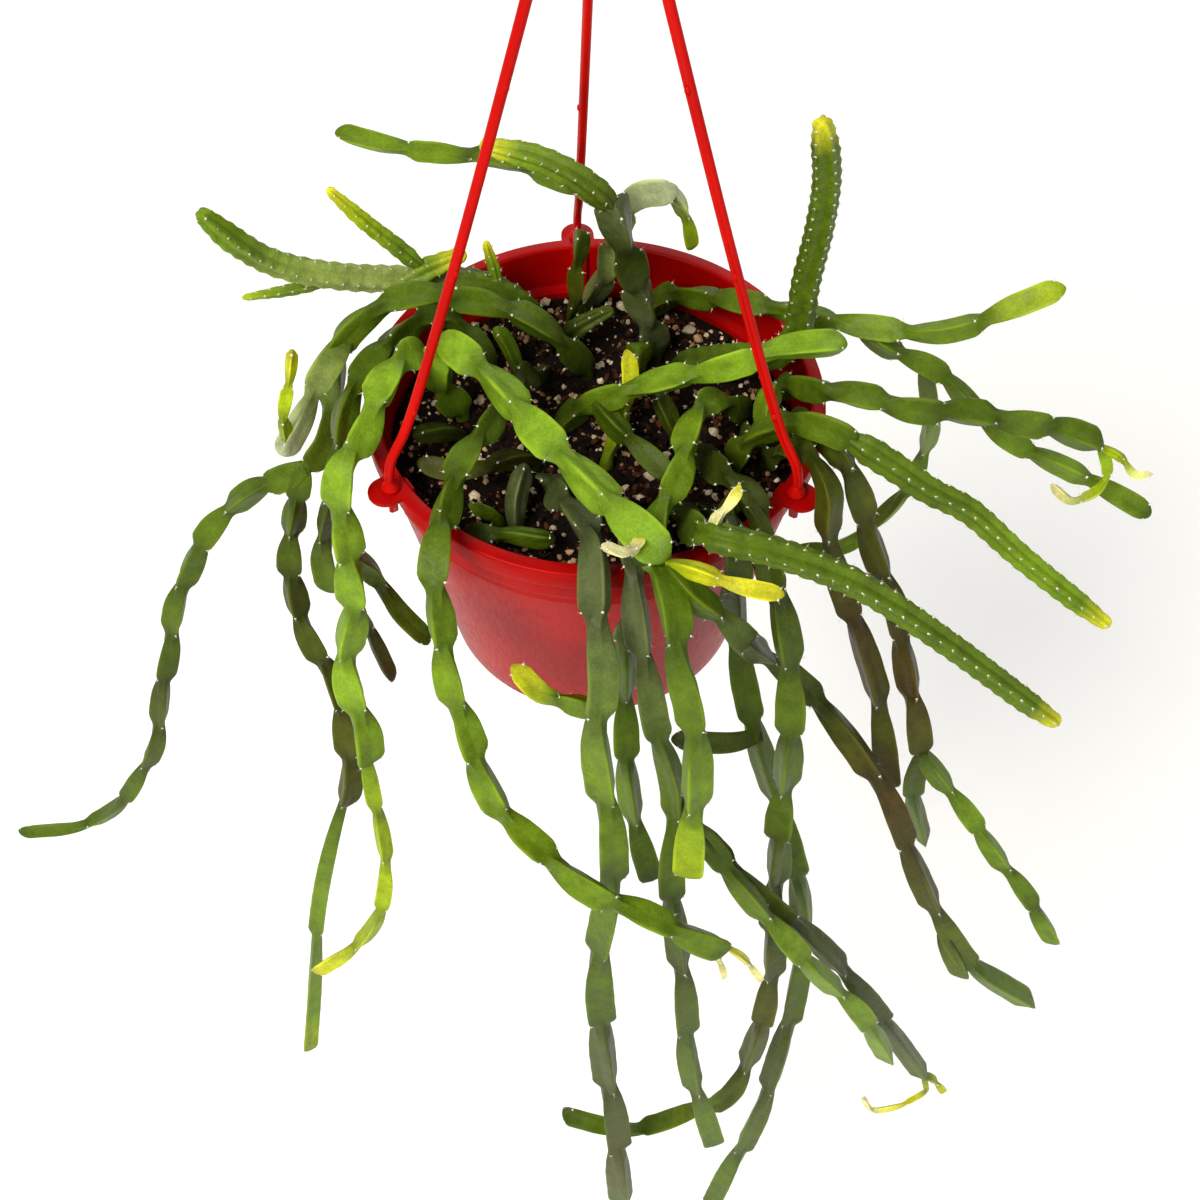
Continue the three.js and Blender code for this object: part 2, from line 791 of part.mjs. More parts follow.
// Lists rings of a jointed stem: each link starts at a neck and swells, and its wings sit in the
// gaps of the wings before it.
function jointedRings(piece, length) {
  const start = piece.root ? rootEnd : 0;
  const count = Math.max(1, Math.round(2 * (length - start) / (piece.links[0] + piece.links[1])));
  const rings = [];
  if (piece.root) {
    rings.push({ at: 0, wing: rootRadius, core: rootRadius, turn: 0 });
  }
  let at = start;
  const sum = count * (piece.links[0] + piece.links[1]) / 2;
  for (let i = 0; i < count; i += 1) {
    const share = count > 1 ? i / (count - 1) : 0.5;
    const link = (piece.links[0] + (piece.links[1] - piece.links[0]) * share) * (length - start) / sum;
    const radius = THREE.MathUtils.lerp(piece.width[0], piece.width[1], share) / wingedWidth;
    for (const [part, wing, core] of link < shortLink ? shortRings : longRings) {
      const isFoot = i === 0 && part === 0;
      const size = isFoot ? Math.min(rootRadius, radius * 0.5) : radius * wing;
      rings.push({ at: at + link * part, wing: size, core: isFoot ? size : radius * core, turn: i });
    }
    at += link;
  }
  const tip = piece.width[1] * tipShare;
  rings.push({ at: length, wing: tip, core: tip, turn: count });
  return rings;
}

// Lists rings of a ribbed stem: five ribs, notched every notchLength.
function ribbedRings(piece, length) {
  const start = piece.root ? rootEnd : 0;
  const count = Math.max(2, Math.round((length - start) / notchLength)) * 2;
  const rings = [];
  if (piece.root) {
    rings.push({ at: 0, wing: rootRadius, core: rootRadius, turn: 0 });
  }
  for (let i = 0; i < count; i += 1) {
    const share = i / count;
    const at = start + (length - start) * share;
    const radius = THREE.MathUtils.lerp(piece.width[0], piece.width[1], share) / ribbedWidth;
    const foot = Math.min(rootRadius, radius * 0.6);
    const wing = i === 0 ? foot : radius * (i % 2 === 0 ? notchReach : 1);
    const core = i === 0 ? foot : radius * ribValley;
    rings.push({ at, wing, core, turn: 0 });
  }
  const tip = piece.width[1] * tipShare;
  rings.push({ at: length, wing: tip, core: tip, turn: 0 });
  return rings;
}

// Bends a cylinder of as many rings along the piece's route, and lifts every second corner of each
// ring to the wing's radius while the others stay at the core's.
function stemPiece(piece) {
  const points = piece.route.map((point) => new THREE.Vector3(...point));
  const route = new THREE.CatmullRomCurve3(points, false, 'centripetal');
  if (piece.root) {
    const foot = route.points[0].clone();
    route.points.unshift(foot.setZ(foot.z - rootEnd));
  }
  const length = route.getLength();
  const sides = piece.ribbed ? ribSides : wingSides;
  const rings = piece.ribbed ? ribbedRings(piece, length) : jointedRings(piece, length);
  const steps = Math.ceil(length);
  const frames = route.computeFrenetFrames(steps, false);
  const geometry = new THREE.CylinderGeometry(1, 1, 1, sides, rings.length - 1);
  const position = geometry.attributes.position;
  const corner = new THREE.Vector3();
  for (let i = 0; i < position.count; i += 1) {
    corner.fromBufferAttribute(position, i);
    const ring = rings[Math.round((0.5 - corner.y) * (rings.length - 1))];
    const angle = Math.atan2(corner.x, corner.z);
    const side = Math.round(angle * sides / (2 * Math.PI));
    const isWing = (side + ring.turn + 2 * sides) % 2 === 0;
    const reach = Math.hypot(corner.x, corner.z) * (isWing ? ring.wing : ring.core);
    const step = Math.min(steps, Math.round(ring.at / length * steps));
    const place = route.getPointAt(ring.at / length);
    place.addScaledVector(frames.normals[step], reach * Math.sin(angle));
    place.addScaledVector(frames.binormals[step], reach * Math.cos(angle));
    position.setXYZ(i, place.x, place.y, place.z);
  }
  return toSolid(geometry);
}

function stem(entry) {
  const body = entry.pieces.map(stemPiece).reduce((whole, piece) => whole.add(piece));
  return namedMesh(entry.name, body, entry.color, 0.5);
}

// The soil fills the pot to soilDepth below the rim, with a plain hole for every rooted stem.
function soil() {
  const top = -soilDepth;
  const wall = ledgeRadius - wallThickness - 2 * clearance;
  const floor = -potHeight + baseThickness + clearance;
  const bottom = baseRadius - wallThickness - clearance;
  const ledge = -bandHeight - ledgeHeight - 1;
  const section = [[0, floor], [bottom - baseCorner - 0.5, floor], [bottom - 0.5, floor + baseCorner],
    [wall, ledge], [wall, top], [0, top]];
  let body = turned(section, potSides);
  const roots = stems.flatMap((entry) => entry.pieces.filter((piece) => piece.root));
  const depth = rootEnd + 2;
  for (const { route } of roots) {
    const [x, y] = route[0];
    const hole = post(rootRadius + rootClearance, depth, 6, x, y, top + 1 - depth / 2);
    body = body.subtract(toSolid(hole));
  }
  return namedMesh('soil', body, 0x2b1d15, 0.95);
}

const plant = new THREE.Group();
plant.add(...stems.map(stem));

const pottedPlant = new THREE.Group();
pottedPlant.add(pot(), soil(), hanger(), plant);
pottedPlant.position.z = -rimDrop;

export default pottedPlant;
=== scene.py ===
# A chain cactus in a round plastic hanging pot: the looks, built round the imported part.
import math

import bpy
import numpy as np
from mathutils import Matrix, Vector
from mathutils.kdtree import KDTree


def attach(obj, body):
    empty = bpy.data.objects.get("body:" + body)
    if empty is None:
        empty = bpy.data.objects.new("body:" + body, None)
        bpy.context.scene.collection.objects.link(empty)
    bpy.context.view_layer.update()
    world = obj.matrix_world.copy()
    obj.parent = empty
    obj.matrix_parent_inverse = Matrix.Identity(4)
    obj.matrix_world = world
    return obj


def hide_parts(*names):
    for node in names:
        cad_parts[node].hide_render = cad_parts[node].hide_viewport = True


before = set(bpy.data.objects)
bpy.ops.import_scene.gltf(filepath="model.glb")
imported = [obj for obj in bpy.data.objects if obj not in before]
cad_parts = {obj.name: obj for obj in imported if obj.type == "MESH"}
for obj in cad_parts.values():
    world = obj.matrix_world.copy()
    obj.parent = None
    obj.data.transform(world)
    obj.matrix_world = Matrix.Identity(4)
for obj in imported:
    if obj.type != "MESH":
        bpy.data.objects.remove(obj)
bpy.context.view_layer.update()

mm = 0.001
rimHeight = -0.245          # the rim's top face, below the point that the hook bears on
scene = bpy.context.scene


# helpers

def toLinear(hexText):
    # one sRGB hex colour as linear red, green, blue and 1
    parts = [int(hexText[i:i + 2], 16) / 255 for i in (1, 3, 5)]
    return tuple(p / 12.92 if p <= 0.04045 else ((p + 0.055) / 1.055) ** 2.4 for p in parts) + (1.0,)


def addNode(tree, kind, inputs=None, **settings):
    # one node with its settings; each input is either a plain value or a link from another's socket
    made = tree.nodes.new(kind)
    for name, value in settings.items():
        setattr(made, name, value)
    for name, value in (inputs or {}).items():
        if isinstance(value, bpy.types.NodeSocket):
            tree.links.new(value, made.inputs[name])
        else:
            made.inputs[name].default_value = value
    return made


def newMaterial(name):
    # an empty node tree under the material's name
    material = bpy.data.materials.new(name)
    material.use_nodes = True
    tree = material.node_tree
    tree.nodes.clear()
    return material, tree


def finishMaterial(tree, surface):
    # the surface's shader goes to the output
    addNode(tree, "ShaderNodeOutputMaterial", {"Surface": surface})


def smoothStep(low, high, values):
    # 0 below low, 1 above high, and 3t^2 - 2t^3 between
    t = np.clip((values - low) / (high - low), 0, 1)
    return t * t * (3 - 2 * t)


def gridFaces(rows, columns):
    # quads between the rows of a grid whose columns close on themselves
    row = np.arange(rows - 1)[:, None] * columns
    column = np.arange(columns)[None, :]
    after = (column + 1) % columns
    return np.stack([row + column, row + after, row + columns + after, row + columns + column],
                    axis=-1).reshape(-1, 4)


def closedTube(rings):
    # a grid of rings as a closed skin: its first and last rings end in a pole at their middle
    rows, columns = rings.shape[:2]
    body = rings.reshape(-1, 3)
    poles = np.array([rings[0].mean(0), rings[-1].mean(0)])
    column = np.arange(columns)
    after = (column + 1) % columns
    first = len(body)
    last = (rows - 1) * columns
    fanStart = np.stack([np.full(columns, first), after, column], axis=-1)
    fanEnd = np.stack([np.full(columns, first + 1), last + column, last + after], axis=-1)
    return {"points": np.vstack([body, poles]), "quads": gridFaces(rows, columns),
            "triangles": np.vstack([fanStart, fanEnd])}


def facingOut(skin):
    # turns all faces round if the volume they enclose comes out negative
    p = skin["points"]
    t = np.vstack([skin["triangles"], skin["quads"][:, [0, 1, 2]], skin["quads"][:, [0, 2, 3]]])
    if np.einsum("ij,ij->", p[t[:, 0]], np.cross(p[t[:, 1]], p[t[:, 2]])) > 0:
        return skin
    return {**skin, "quads": skin["quads"][:, ::-1], "triangles": skin["triangles"][:, ::-1]}


def joined(parts):
    # several skins as one, with their attributes end to end and their material slots kept
    points, quads, triangles, quadSlots, triangleSlots, tones, crestHighlights = [], [], [], [], [], [], []
    offset = 0
    for part in parts:
        count = len(part["points"])
        slot = part.get("slot", 0)
        points.append(part["points"])
        quads.append(part.get("quads", np.zeros((0, 4), int)) + offset)
        triangles.append(part.get("triangles", np.zeros((0, 3), int)) + offset)
        quadSlots.append(np.full(len(quads[-1]), slot))
        triangleSlots.append(np.full(len(triangles[-1]), slot))
        tones.append(part.get("tone", np.ones((count, 4))))
        crestHighlights.append(part.get("edge", np.zeros(count)))
        offset += count
    return {"points": np.vstack(points), "quads": np.vstack(quads), "triangles": np.vstack(triangles),
            "slots": np.concatenate(quadSlots + triangleSlots), "tone": np.vstack(tones),
            "edge": np.concatenate(crestHighlights)}


def newPiece(name, skin, materials, sharpAngle=None):
    # millimetres from the middle of the rim become metres in the part's frame
    mesh = bpy.data.meshes.new(name)
    points = skin["points"] * mm + np.array([0, 0, rimHeight])
    quads = skin.get("quads", np.zeros((0, 4), int))
    triangles = skin.get("triangles", np.zeros((0, 3), int))
    mesh.vertices.add(len(points))
    mesh.vertices.foreach_set("co", points.astype(np.float32).ravel())
    corners = np.concatenate([quads.ravel(), triangles.ravel()]).astype(np.int32)
    mesh.loops.add(len(corners))
    mesh.loops.foreach_set("vertex_index", corners)
    starts = np.concatenate([np.arange(len(quads)) * 4, len(quads) * 4 + np.arange(len(triangles)) * 3])
    mesh.polygons.add(len(starts))
    mesh.polygons.foreach_set("loop_start", starts.astype(np.int32))
    if "slots" in skin:
        mesh.polygons.foreach_set("material_index", skin["slots"].astype(np.int32))
    if "tone" in skin:
        layer = mesh.attributes.new("tone", "FLOAT_COLOR", "POINT")
        layer.data.foreach_set("color", skin["tone"].astype(np.float32).ravel())
        # edge: how much painted highlight each point carries, highest on the crests
        layer = mesh.attributes.new("edge", "FLOAT", "POINT")
        layer.data.foreach_set("value", skin["edge"].astype(np.float32))
    mesh.update(calc_edges=True)
    mesh.validate()
    mesh.shade_smooth()
    if sharpAngle is not None:
        mesh.set_sharp_from_angle(angle=math.radians(sharpAngle))
    for material in materials:
        mesh.materials.append(material)
    piece = bpy.data.objects.new(name, mesh)
    scene.collection.objects.link(piece)
    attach(piece, "root")
    return piece


def curvePoints(route, perSpan=40):
    # centripetal Catmull-Rom: knots step by the square root of each chord, and each span blends
    # straight lines three times over (Barry and Goldman's pyramid)
    points = np.array(route, float)
    points = np.vstack([2 * points[0] - points[1], points, 2 * points[-1] - points[-2]])
    spans = []
    for i in range(1, len(points) - 2):
        p = points[i - 1:i + 3]
        knots = np.concatenate([[0], np.cumsum(np.linalg.norm(np.diff(p, axis=0), axis=1) ** 0.5)])
        t = np.linspace(knots[1], knots[2], perSpan, endpoint=False)[:, None]

        def blend(a, b, low, high):
            return ((knots[high] - t) * a + (t - knots[low]) * b) / (knots[high] - knots[low])

        first = [blend(p[0], p[1], 0, 1), blend(p[1], p[2], 1, 2), blend(p[2], p[3], 2, 3)]
        second = [blend(first[0], first[1], 0, 2), blend(first[1], first[2], 1, 3)]
        spans.append(blend(second[0], second[1], 1, 2))
    return np.vstack(spans + [points[-2:-1]])


def turnAbout(vector, axis, angle):
    # Rodrigues' rotation of one vector
    return (vector * math.cos(angle) + np.cross(axis, vector) * math.sin(angle)
            + axis * (axis @ vector) * (1 - math.cos(angle)))


def carriedFrames(route):
    # length, and functions of arc length that give the place, normal and binormal of a frame that
    # is carried along the curve without twist, a millimetre at a time
    dense = curvePoints(route)
    arc = np.concatenate([[0], np.cumsum(np.linalg.norm(np.diff(dense, axis=0), axis=1))])
    length = arc[-1]
    count = math.ceil(length) + 1
    at = np.linspace(0, length, count)
    slope = np.gradient(dense, arc, axis=0)
    slope[0] = dense[1] - dense[0]
    slope[-1] = dense[-1] - dense[-2]

    def sampled(values, where):
        # straight lines between the dense points
        return np.stack([np.interp(where, arc, values[:, k]) for k in range(3)], axis=-1)

    tangents = sampled(slope, at)
    tangents /= np.linalg.norm(tangents, axis=1)[:, None]
    size = np.abs(np.round(tangents[0], 9))
    flattest = np.eye(3)[2 - int(np.argmin(size[::-1]))]
    across = np.cross(tangents[0], flattest)
    normals = [np.cross(tangents[0], across / np.linalg.norm(across))]
    for before, now in zip(tangents[:-1], tangents[1:]):
        axis = np.cross(before, now)
        size = np.linalg.norm(axis)
        turned = normals[-1]
        if size > 1e-9:
            turned = turnAbout(turned, axis / size, math.acos(np.clip(before @ now, -1, 1)))
        normals.append(turned)
    normals = np.array(normals)
    binormals = np.cross(tangents, normals)

    def frameAt(where):
        # place, normal, binormal and tangent, the last three brought back to unit length
        places = sampled(dense, where)
        found = []
        for values in (normals, binormals, tangents):
            values = np.stack([np.interp(where, at, values[:, k]) for k in range(3)], axis=-1)
            found.append(values / np.linalg.norm(values, axis=1)[:, None])
        return (places, *found)

    return length, frameAt


# the camera stands where the picture was taken: 50 mm lens, looking steeply down

camera = {"place": (0, -0.3767, 0.1511), "down": 53.52, "right": 0.348, "roll": 0.658,
          "lens": 50, "sensor": 36}


def makeCamera():
    # forward is +Y turned right and then down; level and above span the picture, turned by the roll
    down, right, roll = (math.radians(camera[key]) for key in ("down", "right", "roll"))
    forward = Vector((math.sin(right) * math.cos(down), math.cos(right) * math.cos(down), -math.sin(down)))
    level = Vector((math.cos(right), -math.sin(right), 0))
    above = level.cross(forward)
    side = level * math.cos(roll) + above * math.sin(roll)
    top = above * math.cos(roll) - level * math.sin(roll)
    data = bpy.data.cameras.new("camera")
    data.lens = camera["lens"]
    data.sensor_width = camera["sensor"]
    data.clip_start = 0.01
    eye = bpy.data.objects.new("camera", data)
    eye.matrix_world = Matrix.LocRotScale(
        Vector(camera["place"]), Matrix((side, top, -forward)).transposed().to_quaternion(), None)
    scene.collection.objects.link(eye)
    scene.camera = eye


# a pale room: a floor well below the lowest tip, a big soft light at the front left, two weaker ones

studio = {"floor": -0.76, "floorSize": 8, "floorTone": "#fafaf8", "floorRoughness": 0.9,
          "world": 0.36, "worldTone": "#ffffff", "aim": (0, -0.03, rimHeight)}
lamps = [
    {"name": "keyLight", "place": (-1.3, -1.7, 2.0), "size": 1.4, "power": 118, "tone": "#fffaf0"},
    {"name": "fillLight", "place": (1.5, -2.2, 0.5), "size": 1.6, "power": 22, "tone": "#f4f8ff"},
    {"name": "backLight", "place": (0.4, 2.2, 1.3), "size": 1.6, "power": 26, "tone": "#ffffff"},
]


def makeStudio():
    # a square floor, an even white world and one square area light a lamp, each aimed at the rim
    material, tree = newMaterial("paperBackdropMatt")      # seamless paper: matt, with no texture to see
    shader = addNode(tree, "ShaderNodeBsdfPrincipled", {"Base Color": toLinear(studio["floorTone"]),
                                                       "Roughness": studio["floorRoughness"]})
    finishMaterial(tree, shader.outputs["BSDF"])
    half = studio["floorSize"] / 2
    low = studio["floor"]
    mesh = bpy.data.meshes.new("floor")
    mesh.from_pydata([(-half, -half, low), (half, -half, low), (half, half, low), (-half, half, low)],
                     [], [(0, 1, 2, 3)])
    mesh.materials.append(material)
    floor = bpy.data.objects.new("floor", mesh)
    scene.collection.objects.link(floor)
    world = bpy.data.worlds.new("paleRoom")
    world.use_nodes = True
    background = world.node_tree.nodes["Background"]
    background.inputs["Color"].default_value = toLinear(studio["worldTone"])
    background.inputs["Strength"].default_value = studio["world"]
    scene.world = world
    aim = Vector(studio["aim"])
    for lamp in lamps:
        data = bpy.data.lights.new(lamp["name"], "AREA")
        data.size = lamp["size"]
        data.energy = lamp["power"]
        data.color = toLinear(lamp["tone"])[:3]
        light = bpy.data.objects.new(lamp["name"], data)
        place = Vector(lamp["place"])
        light.matrix_world = Matrix.LocRotScale(place, (aim - place).to_track_quat("-Z", "Y"), None)
        scene.collection.objects.link(light)
    scene.view_settings.view_transform = "Standard"


# the plant: names of tones, then every stem's route in millimetres from the middle of the rim

tones = {
    "shade": "#2c360e", "dark": "#3e4a0e", "mid": "#50660f", "fresh": "#658014", "light": "#789a20",
    "lime": "#97ac10", "yellow": "#c6c422", "cream": "#e6dfa0", "grey": "#566038", "pale": "#8b9b50",
    "bleach": "#b9c296", "olive": "#464a0e", "tan": "#43350f",
}
stems = {
    "stem_left_far": [
        {"rooted": True, "width": (9.6, 9.6), "links": (20, 24), "tones": "shade mid mid mid",
         "route": [(-3, 28, -19), (-16, 24, 4), (-38, 29, 13), (-63, 19, 22), (-80, 8, 18), (-87, 7, -8),
                   (-91, 0, -24), (-98, -8, -30)]},
        {"width": (9.6, 6), "links": (18, 32), "tones": "mid mid dark mid mid",
         "route": [(-97, -7, -29), (-122, -9, -45), (-144, -15, -75), (-159, -26, -118),
                   (-174, -36, -169), (-207, -38, -219), (-242, -38, -229)]},
        {"width": (8.6, 9.4), "links": (13, 22), "tones": "mid dark olive olive",
         "route": [(-98, -7, -29), (-105, -18, -56), (-105, -29, -81), (-93, -45, -107),
                   (-90, -61, -140), (-93, -67, -154)]},
        {"width": (6.4, 6.8), "links": (84, 92), "tones": "mid fresh fresh lime",
         "route": [(-93, -66, -152), (-100, -72, -176), (-109, -78, -215), (-127, -94, -328)]},
        {"width": (9, 8.4), "links": (20, 20), "tones": "mid pale bleach",
         "route": [(-80, 8, 16), (-88, -4, 9), (-94, -17, 3), (-99, -28, 0)]},
        {"width": (4.6, 4), "links": (14, 14), "tones": "fresh lime yellow",
         "route": [(-97, -25, 0), (-97, -23, 12), (-94, -18, 24), (-92, -15, 34)]},
    ],
    "stem_left_inner": [
        {"rooted": True, "width": (9.6, 9), "links": (18, 22), "tones": "shade mid mid dark mid",
         "route": [(-36, 29, -19), (-43, 33, -8), (-51, 35, 0), (-60, 27, 4), (-68, 13, 8), (-75, -1, 8),
                   (-80, -13, 4), (-83, -21, -16), (-92, -25, -50), (-91, -31, -68)]},
    ],
    "stem_front_arch": [
        {"rooted": True, "width": (11, 12), "links": (18, 24), "tones": "mid light light light",
         "route": [(-45, 9, -19), (-50, 5, -4), (-51, 3, 10), (-47, 2, 19), (-35, -11, 21),
                   (-17, -36, 21), (2, -61, 21), (21, -84, 19)]},
        {"rooted": True, "width": (9.5, 10), "links": (17, 34),
         "tones": "shade fresh fresh mid fresh lime",
         "route": [(50, 8, -19), (46, 3, -9), (39, -2, -2), (33, -12, 4), (26, -40, 8), (19, -62, 11),
                   (18, -78, 13), (22, -97, 13), (24, -106, 4), (29, -114, -14), (31, -125, -54),
                   (31, -130, -86)]},
        {"width": (10, 12), "links": (10, 10), "tones": "mid mid",
         "route": [(20, -83, 16), (19, -84, 12)]},
        {"width": (11, 11), "links": (14, 23), "tones": "mid light light light fresh",
         "route": [(-50, 5, -2), (-55, 4, 10), (-60, -2, 18), (-66, -17, 18), (-72, -29, 12),
                   (-77, -40, 8), (-79, -47, -8), (-78, -54, -41), (-83, -61, -66), (-79, -72, -93),
                   (-79, -76, -108)]},
        {"width": (6, 6.4), "links": (26, 30), "tones": "fresh lime lime yellow",
         "route": [(-79, -75, -104), (-77, -84, -135), (-77, -93, -169), (-87, -98, -200),
                   (-111, -99, -232)]},
        {"width": (7.6, 7.2), "links": (26, 26), "tones": "mid dark",
         "route": [(-78, -50, -22), (-73, -43, -40), (-67, -45, -59), (-56, -52, -69)]},
        {"width": (6, 5.4), "links": (20, 20), "tones": "olive dark tan",
         "route": [(-79, -54, -42), (-77, -48, -62), (-74, -50, -77), (-70, -54, -89)]},
        {"width": (6.2, 5), "links": (18, 18), "tones": "lime yellow yellow",
         "route": [(21, -84, 18), (29, -88, 20), (40, -93, 20), (54, -95, 18)]},
        {"width": (4, 3.6), "links": (13, 13), "tones": "yellow cream cream",
         "route": [(13, -76, 20), (12, -83, 24), (7, -88, 28), (2, -89, 33)]},
        {"width": (9, 9), "links": (22, 46), "tones": "mid dark dark tan olive mid fresh",
         "route": [(21, -84, 17), (28, -91, 13), (36, -94, 7), (44, -90, -10), (51, -81, -30),
                   (61, -75, -49), (77, -80, -66), (94, -93, -85), (110, -102, -121), (128, -109, -163),
                   (145, -112, -194), (174, -113, -227)]},
        {"width": (9, 8), "links": (24, 24), "tones": "olive mid",
         "route": [(130, -110, -170), (136, -112, -184), (142, -114, -199)]},
    ],
    "stem_upper_left_ribbed": [
        {"rooted": True, "ribbed": True, "width": (10, 9), "tones": "shade mid pale fresh fresh",
         "route": [(-20, 50, -19), (-26, 48, -6), (-40, 48, 3), (-56, 44, 8), (-85, 39, 14),
                   (-104, 36, 22), (-115, 31, 36), (-123, 26, 52)]},
        {"ribbed": True, "width": (8.6, 8), "tones": "pale fresh yellow",
         "route": [(-66, 41, 9), (-55, 42, 15), (-43, 43, 21)]},
        {"ribbed": True, "width": (6.8, 5), "tones": "mid fresh lime yellow",
         "route": [(-57, 42, 14), (-65, 43, 23), (-74, 42, 34), (-85, 40, 50)]},
        {"ribbed": True, "width": (5, 3.6), "tones": "mid fresh lime",
         "route": [(-88, 39, 13), (-99, 40, 8), (-120, 41, 2)]},
        {"ribbed": True, "width": (5, 4.6), "tones": "mid fresh yellow",
         "route": [(-33, 48, 1), (-35, 50, 10), (-37, 50, 20)]},
    ],
    "stem_back_short": [
        {"rooted": True, "width": (6.4, 6), "links": (18, 20), "tones": "shade olive mid",
         "route": [(-9, 49, -19), (-7, 47, -4), (-6, 46, 15), (-5, 43, 31)]},
    ],
    "stem_back_tall": [
        {"rooted": True, "width": (11, 12), "links": (20, 28), "tones": "shade grey dark grey",
         "route": [(21, 37, -19), (18, 35, -6), (15, 32, 12), (10, 27, 32), (7, 21, 52), (5, 17, 65)]},
        {"ribbed": True, "width": (9, 8), "tones": "dark fresh yellow",
         "route": [(6, 18, 61), (-4, 18, 72), (-17, 23, 76), (-35, 28, 77)]},
        {"width": (8, 7), "links": (24, 28), "tones": "mid fresh mid fresh fresh",
         "route": [(6, 19, 60), (-6, 38, 53), (-21, 52, 49), (-47, 68, 42), (-73, 78, 37),
                   (-88, 82, 39)]},
    ],
    "stem_back_pale": [
        {"rooted": True, "width": (9, 9), "links": (18, 22), "tones": "grey pale bleach",
         "route": [(-4, 60, -19), (1, 59, -8), (5, 56, 4), (6, 53, 18), (9, 48, 34), (15, 45, 45),
                   (26, 43, 48)]},
        {"width": (5.4, 5), "links": (16, 16), "tones": "bleach lime lime",
         "route": [(24, 43, 48), (28, 46, 38), (30, 48, 28), (32, 49, 18)]},
    ],
    "stem_right_back": [
        {"rooted": True, "width": (9.2, 7.6), "links": (20, 28),
         "tones": "shade mid mid fresh fresh lime",
         "route": [(19, 55, -19), (24, 54, -9), (33, 46, 0), (42, 38, 6), (52, 31, 10), (64, 25, 13),
                   (86, 16, 15), (111, 8, 21), (132, 7, 33), (145, 7, 41)]},
        {"width": (8, 7.4), "links": (15, 22), "tones": "mid mid fresh mid",
         "route": [(86, 16, 14), (96, 12, 9), (112, 8, 3), (134, -4, -14), (162, -11, -26),
                   (186, -22, -34)]},
        {"width": (7, 6.6), "links": (29, 14), "tones": "dark fresh fresh mid",
         "route": [(108, 10, 5), (114, 14, -18), (118, 21, -50), (113, 22, -80), (96, 20, -103),
                   (76, 19, -109)]},
    ],
    "stem_right_upright_ribbed": [
        {"rooted": True, "ribbed": True, "width": (10.6, 8), "tones": "shade mid mid mid yellow",
         "route": [(28, 30, -19), (37, 24, -9), (49, 17, 0), (59, 12, 6), (64, 10, 15), (65, 10, 38),
                   (66, 5, 65), (65, -1, 88), (60, -10, 116)]},
    ],
    "stem_right_middle": [
        {"rooted": True, "width": (9, 9.6), "links": (17, 21), "tones": "shade mid mid mid mid",
         "route": [(57, 13, -19), (59, 5, -6), (62, -3, 7), (68, -10, 14), (77, -16, 17), (91, -19, 16),
                   (108, -19, 13), (125, -17, 8), (142, -15, 3), (164, -16, -6)]},
        {"width": (3.4, 3), "links": (12, 12), "tones": "lime lime cream",
         "route": [(163, -16, -6), (169, -21, -6), (173, -27, -8), (178, -28, -6)]},
        {"width": (4, 3.6), "links": (12, 12), "tones": "fresh lime cream",
         "route": [(163, -16, -6), (166, -20, -12), (165, -24, -18), (157, -25, -23), (151, -17, -24)]},
    ],
    "stem_right_ribbed": [
        {"rooted": True, "width": (9.6, 9.8), "links": (20, 24), "tones": "dark mid mid",
         "route": [(46, -16, -19), (48, -19, -5), (53, -24, 9), (61, -28, 17), (70, -33, 21),
                   (80, -38, 20)]},
        {"ribbed": True, "width": (9.8, 7), "tones": "mid mid mid fresh fresh yellow",
         "route": [(76, -36, 20), (91, -43, 14), (102, -46, 7), (115, -48, 0), (133, -56, -13),
                   (163, -70, -31)]},
        {"width": (8.4, 8), "links": (18, 18), "tones": "mid fresh",
         "route": [(53, -24, 8), (54, -16, 12), (57, -9, 15)]},
    ],
    "stem_centre": [
        {"rooted": True, "width": (9.4, 9), "links": (17, 26), "tones": "shade fresh light light",
         "route": [(-13, -1, -19), (-7, -1, -9), (0, -3, 0), (21, -5, 10), (45, -7, 22), (57, -7, 27),
                   (78, -6, 29)]},
        {"width": (8, 7.6), "links": (18, 20), "tones": "mid mid",
         "route": [(0, -4, 0), (6, -10, -4), (13, -16, -7), (25, -27, -11)]},
    ],
    "stem_front_ribbed": [
        {"rooted": True, "width": (9.4, 10), "links": (22, 24), "tones": "shade mid",
         "route": [(27, -33, -19), (28, -47, -7), (30, -61, 6), (33, -73, 16)]},
        {"ribbed": True, "width": (10, 7.6), "tones": "mid mid mid mid yellow",
         "route": [(31, -68, 13), (36, -76, 20), (51, -79, 18), (72, -81, 9), (84, -83, 2),
                   (108, -88, -16), (134, -94, -37), (146, -97, -46)]},
        {"width": (4, 3.6), "links": (12, 12), "tones": "light cream yellow",
         "route": [(34, -75, 16), (35, -73, 24), (39, -71, 31), (41, -71, 38)]},
    ],
    "stem_front_left": [
        {"rooted": True, "width": (10, 11.4), "links": (14, 62),
         "tones": "shade grey fresh mid dark olive mid",
         "route": [(-15, -22, -19), (-11, -40, -5), (-5, -57, 6), (0, -73, 11), (1, -84, 8),
                   (1, -96, -1), (2, -103, -12), (1, -110, -27), (5, -119, -70), (6, -125, -113),
                   (2, -130, -162), (4, -134, -204), (12, -144, -320), (15, -148, -374)]},
        {"width": (7.6, 7), "links": (18, 20), "tones": "mid fresh yellow",
         "route": [(2, -108, -22), (-7, -101, -29), (-16, -97, -31), (-25, -91, -24)]},
    ],
    "stem_front_middle": [
        {"rooted": True, "width": (9, 9), "links": (16, 56), "tones": "shade grey mid dark mid mid",
         "route": [(6, -32, -19), (8, -47, -8), (10, -62, 5), (11, -73, 8), (12, -82, 4), (14, -89, -10),
                   (18, -101, -36), (26, -110, -66), (26, -121, -104), (31, -129, -147),
                   (39, -138, -234), (52, -143, -305)]},
